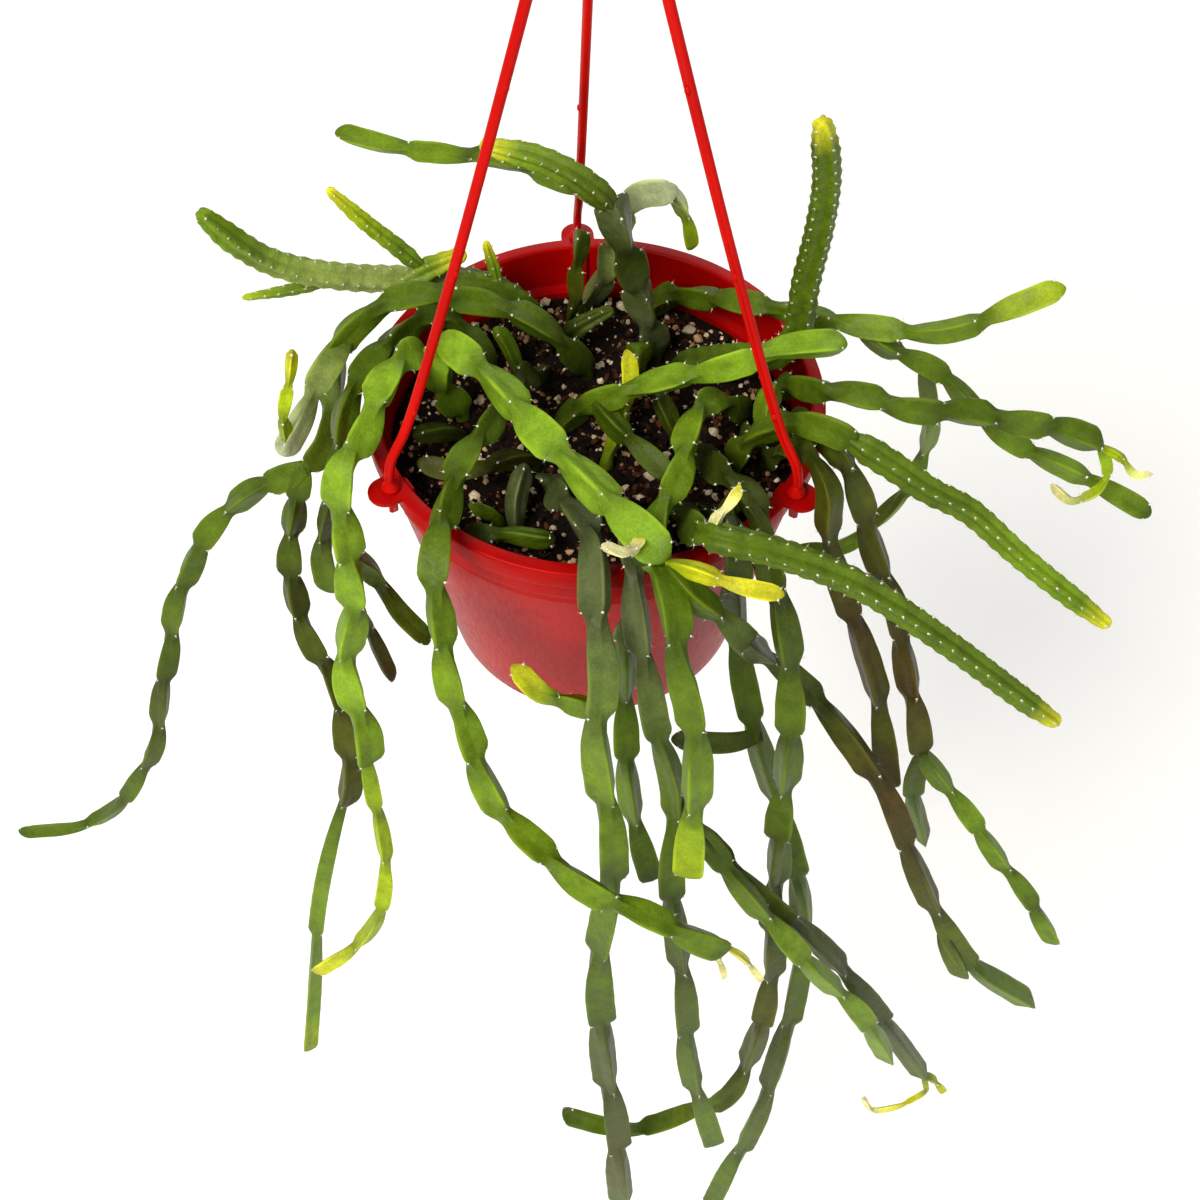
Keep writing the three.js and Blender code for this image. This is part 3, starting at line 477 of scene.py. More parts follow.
        {"width": (8.4, 8), "links": (22, 40), "tones": "dark mid fresh fresh fresh",
         "route": [(26, -110, -66), (36, -113, -91), (56, -125, -118), (76, -131, -150),
                   (99, -131, -192), (118, -131, -241)]},
        {"width": (8.6, 8.8), "links": (26, 66), "tones": "dark dark dark mid",
         "route": [(34, -112, -88), (46, -114, -109), (59, -118, -125), (71, -120, -141),
                   (94, -120, -182), (116, -118, -233), (142, -117, -295)]},
        {"width": (3, 2.8), "links": (16, 16), "tones": "fresh yellow cream",
         "route": [(142, -117, -294), (145, -118, -311), (137, -119, -324), (125, -120, -328),
                   (118, -120, -313)]},
        {"width": (4, 3.6), "links": (12, 12), "tones": "fresh yellow",
         "route": [(142, -117, -293), (147, -117, -300), (154, -117, -314)]},
        {"width": (8.6, 8.6), "links": (22, 32), "tones": "mid mid fresh dark",
         "route": [(12, -85, -4), (10, -80, -22), (10, -83, -38), (11, -92, -78), (15, -100, -110),
                   (21, -105, -138)]},
    ],
    "stem_front_long": [
        {"rooted": True, "width": (9.4, 9.6), "links": (15, 24),
         "tones": "shade dark mid mid fresh fresh fresh fresh mid",
         "route": [(-18, 26, -19), (-21, 16, -9), (-25, 4, 1), (-32, -16, 6), (-38, -31, 8),
                   (-44, -50, 8), (-46, -68, 9), (-47, -80, 2), (-46, -88, -12), (-42, -98, -34),
                   (-35, -108, -60), (-26, -118, -73), (-6, -136, -76), (19, -142, -93),
                   (45, -142, -115)]},
        {"width": (3, 2.6), "links": (14, 14), "tones": "yellow cream",
         "route": [(45, -142, -114), (51, -143, -121), (58, -144, -136)]},
        {"width": (3, 2.6), "links": (14, 14), "tones": "yellow cream",
         "route": [(40, -142, -112), (43, -143, -124), (45, -144, -134)]},
    ],
    "stem_right_front_long": [
        {"rooted": True, "width": (9.6, 9), "links": (20, 40),
         "tones": "shade dark mid dark olive mid mid",
         "route": [(33, -8, -19), (36, -22, -8), (40, -36, 2), (45, -49, 9), (49, -61, 11), (52, -72, 7),
                   (55, -82, -3), (61, -94, -32), (62, -101, -58), (63, -104, -98), (66, -108, -159),
                   (69, -115, -222), (59, -124, -294), (47, -126, -311), (21, -127, -334),
                   (6, -127, -327), (-12, -127, -313)]},
    ],
    "stem_right_front_low": [
        {"rooted": True, "width": (9, 9.4), "links": (18, 66),
         "tones": "shade dark mid mid dark mid mid",
         "route": [(36, -34, -19), (38, -46, -7), (40, -58, 8), (42, -68, 10), (42, -76, 5),
                   (43, -72, -12), (46, -72, -42), (55, -83, -80), (69, -92, -128), (80, -99, -182),
                   (81, -108, -239), (77, -117, -315), (60, -128, -441)]},
        {"width": (7.4, 7), "links": (28, 30), "tones": "dark dark",
         "route": [(56, -83, -76), (45, -85, -78), (26, -83, -79)]},
    ],
    "stem_right_outer": [
        {"rooted": True, "width": (8.6, 9), "links": (20, 42), "tones": "shade dark olive tan olive tan",
         "route": [(57, -11, -19), (58, -21, -6), (62, -30, 7), (67, -40, 12), (71, -49, 9),
                   (72, -53, -3), (76, -56, -18), (87, -64, -48), (96, -72, -74), (105, -80, -114)]},
    ],
    "stem_right_outer_branched": [
        {"rooted": True, "width": (9, 9), "links": (18, 28), "tones": "shade dark olive tan olive",
         "route": [(61, -4, -19), (62, -9, -8), (64, -17, 5), (71, -27, 10), (77, -34, 8), (82, -38, -4),
                   (88, -43, -19), (96, -52, -38), (105, -63, -65), (114, -74, -102)]},
        {"width": (8, 7.4), "links": (28, 30), "tones": "olive mid mid",
         "route": [(114, -74, -100), (115, -73, -124), (120, -73, -147), (126, -74, -167)]},
        {"width": (7.8, 7), "links": (24, 28), "tones": "mid fresh mid fresh",
         "route": [(114, -74, -101), (130, -82, -122), (147, -90, -146), (164, -97, -171),
                   (178, -102, -195)]},
    ],
    "stem_short_back_left": [
        {"rooted": True, "width": (6, 5.6), "links": (14, 14), "tones": "dark mid fresh",
         "route": [(-26, 25, -19), (-30, 30, -9), (-34, 31, -1)]},
    ],
    "stem_short_bristly": [
        {"rooted": True, "ribbed": True, "width": (8, 7), "tones": "shade dark dark",
         "route": [(-12, 40, -19), (-7, 39, -10), (0, 40, -5), (6, 40, -1)]},
    ],
    "stem_short_front": [
        {"rooted": True, "width": (7.6, 7), "links": (16, 16), "tones": "shade grey grey",
         "route": [(-25, -44, -19), (-25, -36, -11), (-22, -27, -4)]},
    ],
    "stem_short_lying_left": [
        {"rooted": True, "width": (7.4, 7), "links": (18, 20), "tones": "shade olive olive",
         "route": [(-20, -13, -19), (-27, -19, -11), (-37, -25, -9), (-47, -26, -9), (-57, -24, -7)]},
    ],
    "stem_short_lying_front": [
        {"rooted": True, "width": (7, 6.6), "links": (16, 18), "tones": "shade dark mid mid",
         "route": [(-41, -45, -19), (-36, -50, -12), (-27, -51, -10), (-17, -52, -11), (-12, -52, -11)]},
    ],
    "stem_short_sprout": [
        {"rooted": True, "width": (5, 4.6), "links": (12, 12), "tones": "mid fresh",
         "route": [(-31, -38, -19), (-35, -39, -13), (-40, -39, -10)]},
    ],
    "stem_short_yellow_tip": [
        {"rooted": True, "width": (6, 5.6), "links": (16, 16), "tones": "mid lime yellow",
         "route": [(4, -12, -19), (8, -6, -11), (11, 6, 0), (10, 12, 8)]},
    ],
    "stem_short_cut": [
        {"rooted": True, "width": (8, 9), "links": (14, 14), "tones": "mid mid",
         "route": [(15, 29, -19), (15, 28, -12), (14, 26, -4)]},
    ],
    "stem_short_middle": [
        {"rooted": True, "width": (7.4, 7), "links": (14, 14), "tones": "dark dark",
         "route": [(27, -3, -19), (24, 1, -12), (20, 6, -6)]},
    ],
    "stem_short_right": [
        {"rooted": True, "width": (6, 5.6), "links": (12, 12), "tones": "shade dark",
         "route": [(49, -4, -19), (50, -5, -13), (51, -6, -9)]},
    ],
    "stem_short_left": [
        {"rooted": True, "width": (7.4, 7), "links": (16, 16), "tones": "shade dark",
         "route": [(-45, -2, -19), (-51, -8, -10), (-59, -13, -7)]},
    ],
    "stem_short_front_right": [
        {"rooted": True, "width": (7, 6.4), "links": (12, 12), "tones": "shade dark",
         "route": [(46, -36, -19), (47, -37, -13), (49, -38, -7)]},
    ],
}

# how a link is shaped: shares of its length or of its wing's reach, unless the name says millimetres
chain = {
    "seed": 100, "rootEnd": 6, "rootRadius": 2.4, "rootBlend": (-3, 6), "rootWings": (-1, 5),
    "ribRoot": (-1, 9), "bareMm": 4, "wingTip": 1.6, "wingedWidth": math.sqrt(3), "ribbedWidth": 1.9,
    "core": 0.48, "neck": 0.41, "riseSpan": (-0.12, 0.55), "risePower": 0.55,
    "fallMm": (2.6, 5.5), "fallShare": 0.24, "fallDepth": 0.76, "afterSpan": (0.3, 0.4),
    "lateMm": (-0.5, 0.3), "reachVaries": 0.07, "rippleMm": (1.5, 2.2), "rippleSize": 0.018,
    "neckSpan": (0.16, 1.2), "neckShade": 0.34, "linkShade": (0.86, 1.1), "beadAt": 0.42,
    "ribs": 5, "ribValley": 0.66, "ribStepMm": 5.2, "ribNotch": 0.9, "ribRingMm": 0.9,
    "ringMm": 1.5, "tipMm": 2.6, "tipTone": 34, "ribTipTone": 13,
    "twistDegrees": 7, "twistMm": 37, "ribTwistMm": 40, "wingPoint": 0.09, "wingPlump": 0.95,
}
wingAngles = np.radians([60 * sector + step for sector in range(6)
                         for step in (0, 3.5, 8, 16, 30, 44, 52, 56.5)])
ribAngles = np.radians(np.arange(0, 360, 7.2))
sixth = np.pi / 3                # from one wing's place to the next
fifth = 2 * np.pi / chain["ribs"]


def wingProfile(distance):
    # height of a wing over the core at a share of the way to the next wing's place: that of a flat
    # triangle's corner, 1/cos - 1, with its point rounded by sqrt(d^2 + r^2), made a little plumper
    rounded = np.sqrt(distance ** 2 + chain["wingPoint"] ** 2)
    corner = 1 / np.cos(np.radians(60) * (1 - np.clip(rounded, 0, 1))) - 1
    point = 1 / np.cos(np.radians(60) * (1 - chain["wingPoint"])) - 1
    return np.clip(corner / point, 0, 1) ** chain["wingPlump"]


def ribProfile(distance):
    # a rounded rib between valleys, half a cosine wave: (1/2 + cos(pi d) / 2) ^ 0.85
    return (0.5 + 0.5 * np.cos(np.pi * distance)) ** 0.85


def apart(angles, centre, reach):
    # how far each angle is from a centre, as a share of reach, and never over 1
    difference = (angles - centre + np.pi) % (2 * np.pi) - np.pi
    return np.clip(np.abs(difference) / reach, 0, 1)


def linkEnds(piece, length):
    # arc length at each link's start, with the links growing evenly from the first to the last
    start = chain["rootEnd"] if piece.get("rooted") else 0
    first, last = piece["links"]
    count = max(1, math.floor(2 * (length - start) / (first + last) + 0.5))
    share = np.linspace(0, 1, count) if count > 1 else np.array([0.5])
    links = first + (last - first) * share
    links *= (length - start) / links.sum()
    return start, np.concatenate([[start], start + np.cumsum(links)]), share


def ringPlaces(ends, spacing):
    # rings lie closer together near both ends of a link: u - 0.1 sin(2 pi u) for even steps u
    places = []
    for low, high in zip(ends[:-1], ends[1:]):
        u = np.linspace(0, 1, max(9, math.ceil((high - low) / spacing)), endpoint=False)
        places.append(low + (high - low) * (u - 0.1 * np.sin(2 * np.pi * u)))
    return np.concatenate(places)


def toneAlong(names, share, length, tipMm):
    # colours of the named tones, evenly spaced and blended between, the last one at the tip alone
    colours = np.array([toLinear(tones[name]) for name in names.split()])
    marks = np.linspace(0, 1, len(colours))
    if len(colours) > 2:
        marks[-2] = max(marks[-2], 1 - tipMm / length)
    return np.stack([np.interp(share, marks, colours[:, k]) for k in range(4)], axis=-1)


def roundEnd(where, length, depth):
    # 1 along the stem, then a quarter circle down to 0 over the last stretch
    into = np.clip((where - (length - depth)) / depth, 0, 1)
    return np.sqrt(np.clip(1 - into ** 2, 0, 1))


def fullRoute(piece):
    # a rooted stem's route starts a little way down in the soil
    route = list(piece["route"])
    if piece.get("rooted"):
        x, y, z = route[0]
        route.insert(0, (x, y, z - chain["rootEnd"]))
    return route


def withTip(where, length):
    # ring places with closer ones over the tip's last stretch
    tip = np.linspace(length - chain["tipMm"], length, 9)[:-1]
    return np.concatenate([where[where < tip[0] - 0.3], tip, [length - 0.02]])


def slowTwist(where, wave, draw):
    # an angle that swings as sin(s / wave), and starts at 0
    twist = np.radians(chain["twistDegrees"]) * np.sin(where / wave + draw.uniform(0, 6))
    return twist - twist[0]


def chainStem(piece, draw):
    # a jointed stem: radius = core + sum over six places round it of that place's wing height times
    # its profile, where wings of odd links stand at the places between those of even links
    rooted = piece.get("rooted", False)
    length, frameAt = carriedFrames(fullRoute(piece))
    start, ends, share = linkEnds(piece, length)
    where = withTip(np.concatenate([np.linspace(0, start, 4, endpoint=False) if rooted else [],
                                    ringPlaces(ends, chain["ringMm"])]), length)
    first = start if len(share) > 1 else 0
    reach = np.interp(where, [first, length], piece["width"]) / chain["wingedWidth"]
    wings = np.zeros((len(where), 6))
    necks = np.zeros(len(where))
    beads = []
    riseFrom, riseTo = chain["riseSpan"]
    afterFrom, afterTo = chain["afterSpan"]
    neckShare, neckMm = chain["neckSpan"]
    for index, (low, high) in enumerate(zip(ends[:-1], ends[1:])):
        link = high - low
        fall = np.clip(link * chain["fallShare"], *chain["fallMm"])
        rise = smoothStep(low + riseFrom * link, low + riseTo * link, where) ** chain["risePower"]
        after = smoothStep(high - afterFrom * fall, high + afterTo * link, where)
        for wing in range(3):
            place = 2 * wing + index % 2
            late = draw.uniform(*chain["lateMm"])
            scale = 1 + draw.uniform(-chain["reachVaries"], chain["reachVaries"])
            shoulder = smoothStep(high - fall + late, high + 0.2 * fall + late, where)
            drop = 1 - chain["fallDepth"] * shoulder - (1 - chain["fallDepth"]) * after
            wave = np.sin(where / draw.uniform(*chain["rippleMm"]) + draw.uniform(0, 6))
            height = rise * drop * scale * (1 + chain["rippleSize"] * wave)
            wings[:, place] = np.maximum(wings[:, place], height)
            beads.append((high - chain["beadAt"] * fall + late, place))
        for joint in (low, high) if index == 0 else (high,):
            near = np.exp(-((where - joint) / (neckShare * link + neckMm)) ** 2)
            necks = np.maximum(necks, near)
    core = reach * (chain["core"] - (chain["core"] - chain["neck"]) * necks)
    if rooted:
        blendFrom, blendTo = chain["rootBlend"]
        wingFrom, wingTo = chain["rootWings"]
        into = smoothStep(start + blendFrom, start + blendTo, where)
        core = chain["rootRadius"] * (1 - into) + core * into
        wings *= smoothStep(start + wingFrom, start + wingTo, where)[:, None]
    tip = roundEnd(where, length, chain["tipMm"] * chain["wingTip"])
    height = wings * (reach - core)[:, None] * tip[:, None]
    core = core * roundEnd(where, length, chain["tipMm"])
    twist = slowTwist(where, chain["twistMm"], draw)
    profiles = np.array([wingProfile(apart(wingAngles, k * sixth, sixth)) for k in range(6)])
    radius = core[:, None] + height @ profiles
    # how near each point is to a wing's crest: where the painted highlight goes
    crest = np.max(profiles[None] * wings[:, :, None], axis=1)
    tone = toneAlong(piece["tones"], where / length, length, chain["tipTone"])
    shadeOfLink = np.interp(where, ends, draw.uniform(*chain["linkShade"], len(ends)))
    tone[:, :3] *= (shadeOfLink * (1 - chain["neckShade"] * necks))[:, None]
    spots = [{"at": at, "angle": k * sixth + np.interp(at, where, twist),
              "reach": np.interp(at, where, core + height[:, k])} for at, k in beads
             if at > start + chain["bareMm"]]
    return sweptSkin(where, frameAt, wingAngles, twist, radius, tone, crest), spots, frameAt


def ribbedStem(piece, draw):
    # a young stem: five ribs that notch together every few millimetres, tapering to its tip
    length, frameAt = carriedFrames(fullRoute(piece))
    start = chain["rootEnd"] if piece.get("rooted") else 0
    where = withTip(np.arange(0, length, chain["ribRingMm"]), length)
    width = np.interp(where, [start, length], piece["width"])
    rootFrom, rootTo = chain["ribRoot"]
    grown = 0.5 + 0.5 * smoothStep(start + rootFrom, start + rootTo, where)
    reach = width / chain["ribbedWidth"] * grown
    reach *= 1 - 0.3 * smoothStep(length - 16, length, where)
    core = reach * chain["ribValley"]
    ribs = np.zeros((len(where), chain["ribs"]))
    beads = []
    step = chain["ribStepMm"]
    for rib in range(chain["ribs"]):
        phase = draw.uniform(0, 1)
        wave = 0.5 - 0.5 * np.cos(2 * np.pi * (where / step + phase))
        ribs[:, rib] = 1 - (1 - chain["ribNotch"]) * 3 * (1 - wave ** 0.6)
        beads += [(at, rib) for at in np.arange(start + (1.2 - phase) * step, length - 1.5, step) + 0.4]
    tip = roundEnd(where, length, chain["tipMm"] * chain["wingTip"])
    height = ribs * (reach - core)[:, None] * tip[:, None]
    core = core * roundEnd(where, length, chain["tipMm"])
    twist = slowTwist(where, chain["ribTwistMm"], draw)
    profiles = np.array([ribProfile(apart(ribAngles, k * fifth, fifth / 2)) for k in range(chain["ribs"])])
    radius = core[:, None] + height @ profiles
    # the ribs' crests, fainter: where the painted highlight goes
    crest = 0.7 * np.max(profiles[None] * ribs[:, :, None], axis=1)
    tone = toneAlong(piece["tones"], where / length, length, chain["ribTipTone"])
    spots = [{"at": at, "angle": k * fifth + np.interp(at, where, twist),
              "reach": np.interp(at, where, core + height[:, k])} for at, k in beads]
    return sweptSkin(where, frameAt, ribAngles, twist, radius, tone, crest), spots, frameAt


def sweptSkin(where, frameAt, angles, twist, radius, tone, crest):
    # ring point = place + radius (normal sin(angle + twist) + binormal cos(angle + twist))
    place, normal, binormal, _ = frameAt(where)
    turned = angles[None, :] + twist[:, None]
    rings = (place[:, None] + radius[:, :, None] * (normal[:, None] * np.sin(turned)[:, :, None]
                                                     + binormal[:, None] * np.cos(turned)[:, :, None]))
    skin = closedTube(rings)
    skin["tone"] = np.vstack([np.repeat(tone, len(angles), axis=0), tone[:1], tone[-1:]])
    skin["edge"] = np.concatenate([crest.ravel(), [0, 0]])
    return skin


# areoles: a dot of white wool in the corner of each wing, with a few short bristles

areole = {"woolMm": 0.42, "woolVaries": (0.7, 1.25), "woolSides": 6, "woolTop": 0.9, "sunkMm": 0.12,
          "woolRings": ((-0.35, 1.0), (0.35, 0.85), (0.75, 0.42)),
          "bristles": 3, "ribBristles": 6, "ribScale": 0.8,
          "bristleMm": (0.9, 2.0), "bristleWidthMm": 0.075,
          "woolTone": "#dcd9c4", "bristleTone": "#e8e4d0"}


def woolSkin(base, out, tangent, side, size):
    # domes, each of three rings and two poles: base + lift out + width (tangent cos + side sin),
    # with lift and width in parts of the dome's own size
    sides = areole["woolSides"]
    levels = areole["woolRings"]
    turns = np.arange(sides) * 2 * np.pi / sides
    circle = (tangent[:, None] * np.cos(turns)[None, :, None]
              + side[:, None] * np.sin(turns)[None, :, None]) * size[:, None, None]
    rings = np.stack([base[:, None] + (out * lift * size[:, None])[:, None] + width * circle
                      for lift, width in levels], axis=1)
    count = len(base)
    points = rings.reshape(-1, 3)
    block = (np.arange(count) * len(levels) * sides)[:, None, None]
    top = base + out * (areole["woolTop"] * size)[:, None]
    foot = base + out * (levels[0][0] * size)[:, None]
    column = np.arange(sides)
    after = (column + 1) % sides
    last = (len(levels) - 1) * sides
    crown = np.stack([column * 0, last + column, last + after], axis=-1)[None] + block
    crown[:, :, 0] = len(points) + np.arange(count)[:, None]
    sole = np.stack([column * 0, after, column], axis=-1)[None] + block
    sole[:, :, 0] = len(points) + count + np.arange(count)[:, None]
    return {"points": np.vstack([points, top, foot]), "slot": 1,
            "quads": (gridFaces(len(levels), sides)[None] + block).reshape(-1, 4),
            "triangles": np.vstack([crown.reshape(-1, 3), sole.reshape(-1, 3)])}


def bristleSkin(base, out, tangent, side, scale, draw):
    # three-sided spikes that lean outward and a little towards the stem's tip
    count = len(base)
    lean = (out * draw.uniform(0.6, 1.0, count)[:, None]
            + tangent * draw.uniform(-0.2, 1.0, count)[:, None]
            + side * draw.uniform(-0.8, 0.8, count)[:, None])
    lean /= np.linalg.norm(lean, axis=1)[:, None]
    long = draw.uniform(*areole["bristleMm"], count) * scale
    flat = np.cross(lean, side + 0.01)
    flat /= np.linalg.norm(flat, axis=1)[:, None]
    third = np.cross(lean, flat)
    corners = [base + areole["bristleWidthMm"] * (flat * math.cos(a) + third * math.sin(a))
               for a in (0, 2 * math.pi / 3, 4 * math.pi / 3)]
    points = np.stack(corners + [base + lean * long[:, None]], axis=1).reshape(-1, 3)
    faces = np.array([(0, 1, 3), (1, 2, 3), (2, 0, 3), (0, 2, 1)])[None]
    return {"points": points, "quads": np.zeros((0, 4), int), "slot": 2,
            "triangles": (faces + (np.arange(count) * 4)[:, None, None]).reshape(-1, 3)}


def areoleSkins(spots, frameAt, draw, bristles, scale=1.0):
    # each areole lies on its wing's crest, a little sunk in: place + reach out
    at, angle, reach = (np.array([spot[key] for spot in spots]) for key in ("at", "angle", "reach"))
    place, normal, binormal, tangent = frameAt(at)
    out = normal * np.sin(angle)[:, None] + binormal * np.cos(angle)[:, None]
    side = np.cross(tangent, out)
    base = place + out * (reach - areole["sunkMm"])[:, None]
    size = areole["woolMm"] * scale * draw.uniform(*areole["woolVaries"], len(at))
    many = np.repeat(np.arange(len(at)), bristles)
    return [woolSkin(base, out, tangent, side, size),
            bristleSkin(base[many], out[many], tangent[many], side[many], scale, draw)]


def skinMaterial():
    # cactus skin, grown: waxy, satin, faintly see-through; its wing and rib crests carry a painted
    # highlight, a lighter copy of the tone mixed in along them
    material, tree = newMaterial("cactusSkinWaxy")
    tone = addNode(tree, "ShaderNodeAttribute", attribute_name="tone")
    edge = addNode(tree, "ShaderNodeAttribute", attribute_name="edge")
    coordinates = addNode(tree, "ShaderNodeTexCoord").outputs["Object"]
    patches = addNode(tree, "ShaderNodeTexNoise", {"Vector": coordinates, "Scale": 160, "Detail": 4,
                                                   "Roughness": 0.6})      # patches about 6 mm wide
    specks = addNode(tree, "ShaderNodeTexNoise", {"Vector": coordinates, "Scale": 1400, "Detail": 2})
    patchShade = addNode(tree, "ShaderNodeMapRange", {"Value": patches.outputs["Fac"], "From Min": 0.3,
                                                      "From Max": 0.7, "To Min": 0.7, "To Max": 1.2})
    speckShade = addNode(tree, "ShaderNodeMapRange", {"Value": specks.outputs["Fac"], "From Min": 0.3,
                                                      "From Max": 0.7, "To Min": 0.86, "To Max": 1.14})
    shade = addNode(tree, "ShaderNodeMath", {0: patchShade.outputs[0], 1: speckShade.outputs[0]},
                    operation="MULTIPLY")
    shaded = addNode(tree, "ShaderNodeVectorMath", {0: tone.outputs["Color"], "Scale": shade.outputs[0]},
                     operation="SCALE")
    # painted highlight: along the crests (the edge attribute) the tone is mixed towards a lighter copy of
    # itself
    rim = addNode(tree, "ShaderNodeMapRange", {"Value": edge.outputs["Fac"], "From Min": 0.72,
                                               "From Max": 1.0, "To Min": 0.0, "To Max": 0.6})
    paintedHighlightTone = addNode(tree, "ShaderNodeVectorMath", {0: tone.outputs["Color"], 1: (1.7, 1.55, 1.3)},
                      operation="MULTIPLY")
    colour = addNode(tree, "ShaderNodeMix", {0: rim.outputs[0], 6: shaded.outputs[0],
                                             7: paintedHighlightTone.outputs[0]}, data_type="RGBA")
    gloss = addNode(tree, "ShaderNodeMapRange", {"Value": patches.outputs["Fac"], "From Min": 0.3,
                                                 "From Max": 0.7, "To Min": 0.38, "To Max": 0.54})
    pores = addNode(tree, "ShaderNodeTexNoise", {"Vector": coordinates, "Scale": 700, "Detail": 3})
    bump = addNode(tree, "ShaderNodeBump", {"Height": pores.outputs["Fac"], "Strength": 0.45,
                                            "Distance": 0.0004})
    dents = addNode(tree, "ShaderNodeBump", {"Height": patches.outputs["Fac"], "Strength": 0.4,
                                             "Distance": 0.0012, "Normal": bump.outputs["Normal"]})
    shader = addNode(tree, "ShaderNodeBsdfPrincipled", {
        "Base Color": colour.outputs[2], "Roughness": gloss.outputs[0], "IOR": 1.42,
        "Specular IOR Level": 0.18, "Subsurface Weight": 0.12, "Subsurface Radius": (0.6, 1.0, 0.25),
        "Subsurface Scale": 0.002, "Normal": dents.outputs["Normal"]})
    finishMaterial(tree, shader.outputs["BSDF"])
    return material


def plainMaterial(name, tone, roughness, grain):
    # fibre or felt: matt, with its tone broken up by a fine grain
    material, tree = newMaterial(name)
    coordinates = addNode(tree, "ShaderNodeTexCoord").outputs["Object"]
    noise = addNode(tree, "ShaderNodeTexNoise", {"Vector": coordinates, "Scale": grain, "Detail": 3})
    shade = addNode(tree, "ShaderNodeMapRange", {"Value": noise.outputs["Fac"], "To Min": 0.8,
                                                 "To Max": 1.15})
    colour = addNode(tree, "ShaderNodeVectorMath", {0: toLinear(tone)[:3], "Scale": shade.outputs[0]},
                     operation="SCALE")
    shader = addNode(tree, "ShaderNodeBsdfPrincipled", {"Base Color": colour.outputs[0],
                                                       "Roughness": roughness})
    finishMaterial(tree, shader.outputs["BSDF"])
    return material


def makeStems():
    # one mesh a node: its swept stems, wool domes and bristles; gives back the points near the soil
    waxy = skinMaterial()
    # tiny white felt pads, dry and matt; stiff pale hairs with a faint shine
    wool = plainMaterial("areoleWoolFelted", areole["woolTone"], 0.9, 3000)
    bristle = plainMaterial("bristleHairStiff", areole["bristleTone"], 0.5, 2000)
    total = 0
    low = []
    for order, (node, pieces) in enumerate(stems.items()):
        draw = np.random.default_rng(chain["seed"] + order)
        skins = []
        for piece in pieces:
            if piece.get("ribbed"):
                made, spots, frameAt = ribbedStem(piece, draw)
                dots = areoleSkins(spots, frameAt, draw, areole["ribBristles"], areole["ribScale"])
            else:
                made, spots, frameAt = chainStem(piece, draw)
                dots = areoleSkins(spots, frameAt, draw, areole["bristles"]) if spots else []
            skins += [facingOut(skin) for skin in [made, *dots]]
        whole = joined(skins)
        total += 2 * len(whole["quads"]) + len(whole["triangles"])
        low.append(whole["points"][whole["points"][:, 2] < soil["stemsBelow"]])
        made = newPiece(node + "_skin", whole, [waxy, wool, bristle])
        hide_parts(node)
    print("stems:", len(stems), "pieces,", total, "triangles")
    return np.vstack(low)


# the pot: a thin red moulded shell; sizes in millimetres, heights from the rim's top face

pot = {"turns": 192, "spanMm": 9, "sharpDegrees": 40, "strands": (95, 213, 326), "circle": 75.5,
       "drains": 6, "drainRadius": 4, "drainCircle": 36, "drainSpan": (-114, -104),
       "hole": 2.5, "holeSpan": (-4, 3),
       "lugHalf": 5.75, "lugReach": 83, "lugInner": 70.6, "lugThick": 1.6, "lugBevel": 0.35,
       "padSize": (2.2, 6), "padSpan": (-16.5, -1.5), "padAt": 69.8, "padCorner": 0.5, "padBevel": 0.4,
       "notchSize": (3.6, 12.5), "notchSpan": (-8.6, -1.6), "notchAt": 75, "notchCorner": 0.01,
       "tone": "#a60402", "deepTone": "#8e0201", "roughness": 0.3}
# corners of the section as (radius, height, fillet): up the outside, over the skirt, down inside
potSection = [(43, -109.5, 0.4), (43.6, -110, 0.4), (52.6, -110, 3), (69.4, -22, 2.5), (69.4, -18, 0.8),
              (71.3, -16.8, 0.7), (71.3, -1.2, 0.5), (73.8, -1.2, 0.4), (73.8, -7, 0.5), (75, -7, 0.5),
              (75, 0, 1.0), (70.1, 0, 0.9), (70.1, -16.5, 1.2), (68.2, -19.2, 0.8), (68.2, -22, 2.5),
              (51.2, -108, 3)]


def filleted(corners, start, end, steps=5):
    # each corner becomes an arc, tangent to both its sides, of the corner's own radius
    places = np.array([start] + [corner[:2] for corner in corners] + [end], float)
    out = [places[0]]
    for i, corner in enumerate(corners, 1):
        here = places[i]
        back, on = places[i - 1] - here, places[i + 1] - here
        backLong, onLong = np.linalg.norm(back), np.linalg.norm(on)
        back, on = back / backLong, on / onLong
        half = math.acos(np.clip(back @ on, -1, 1)) / 2
        cut = min(corner[2] / math.tan(half), 0.48 * backLong, 0.48 * onLong)
        middle = (back + on) / np.linalg.norm(back + on)
        centre = here + middle * cut / math.cos(half)
        first, last = here + back * cut - centre, here + on * cut - centre
        turn = math.atan2(first[0] * last[1] - first[1] * last[0], first @ last)
        angle = np.linspace(0, turn, steps)
        out += list(centre + np.column_stack([first[0] * np.cos(angle) - first[1] * np.sin(angle),
                                              first[0] * np.sin(angle) + first[1] * np.cos(angle)]))
    out.append(places[-1])
    return np.array(out)


def subdivided(line, span):
    # extra points along a line, so that no stretch of it is longer than span
    fine = [line[0]]
    for before, after in zip(line[:-1], line[1:]):
        pieces = max(1, math.ceil(np.linalg.norm(after - before) / span))
        fine += [before + (after - before) * k / pieces for k in range(1, pieces + 1)]
    return np.array(fine)


def lathed(section, turns):
    # radius and height turned about the upright axis: (r cos a, r sin a, z), ends closed by poles
    angle = np.arange(turns) * 2 * np.pi / turns
    return closedTube(np.stack([section[:, :1] * np.cos(angle), section[:, :1] * np.sin(angle),
                                np.repeat(section[:, 1:], turns, axis=1)], axis=-1))


def stacked(outline, levels):
    # a closed outline at each (height, inset) level, joined up and closed at both ends
    return closedTube(np.stack([np.column_stack([outline(inset), np.full(len(outline(inset)), height)])
                                for height, inset in levels]))


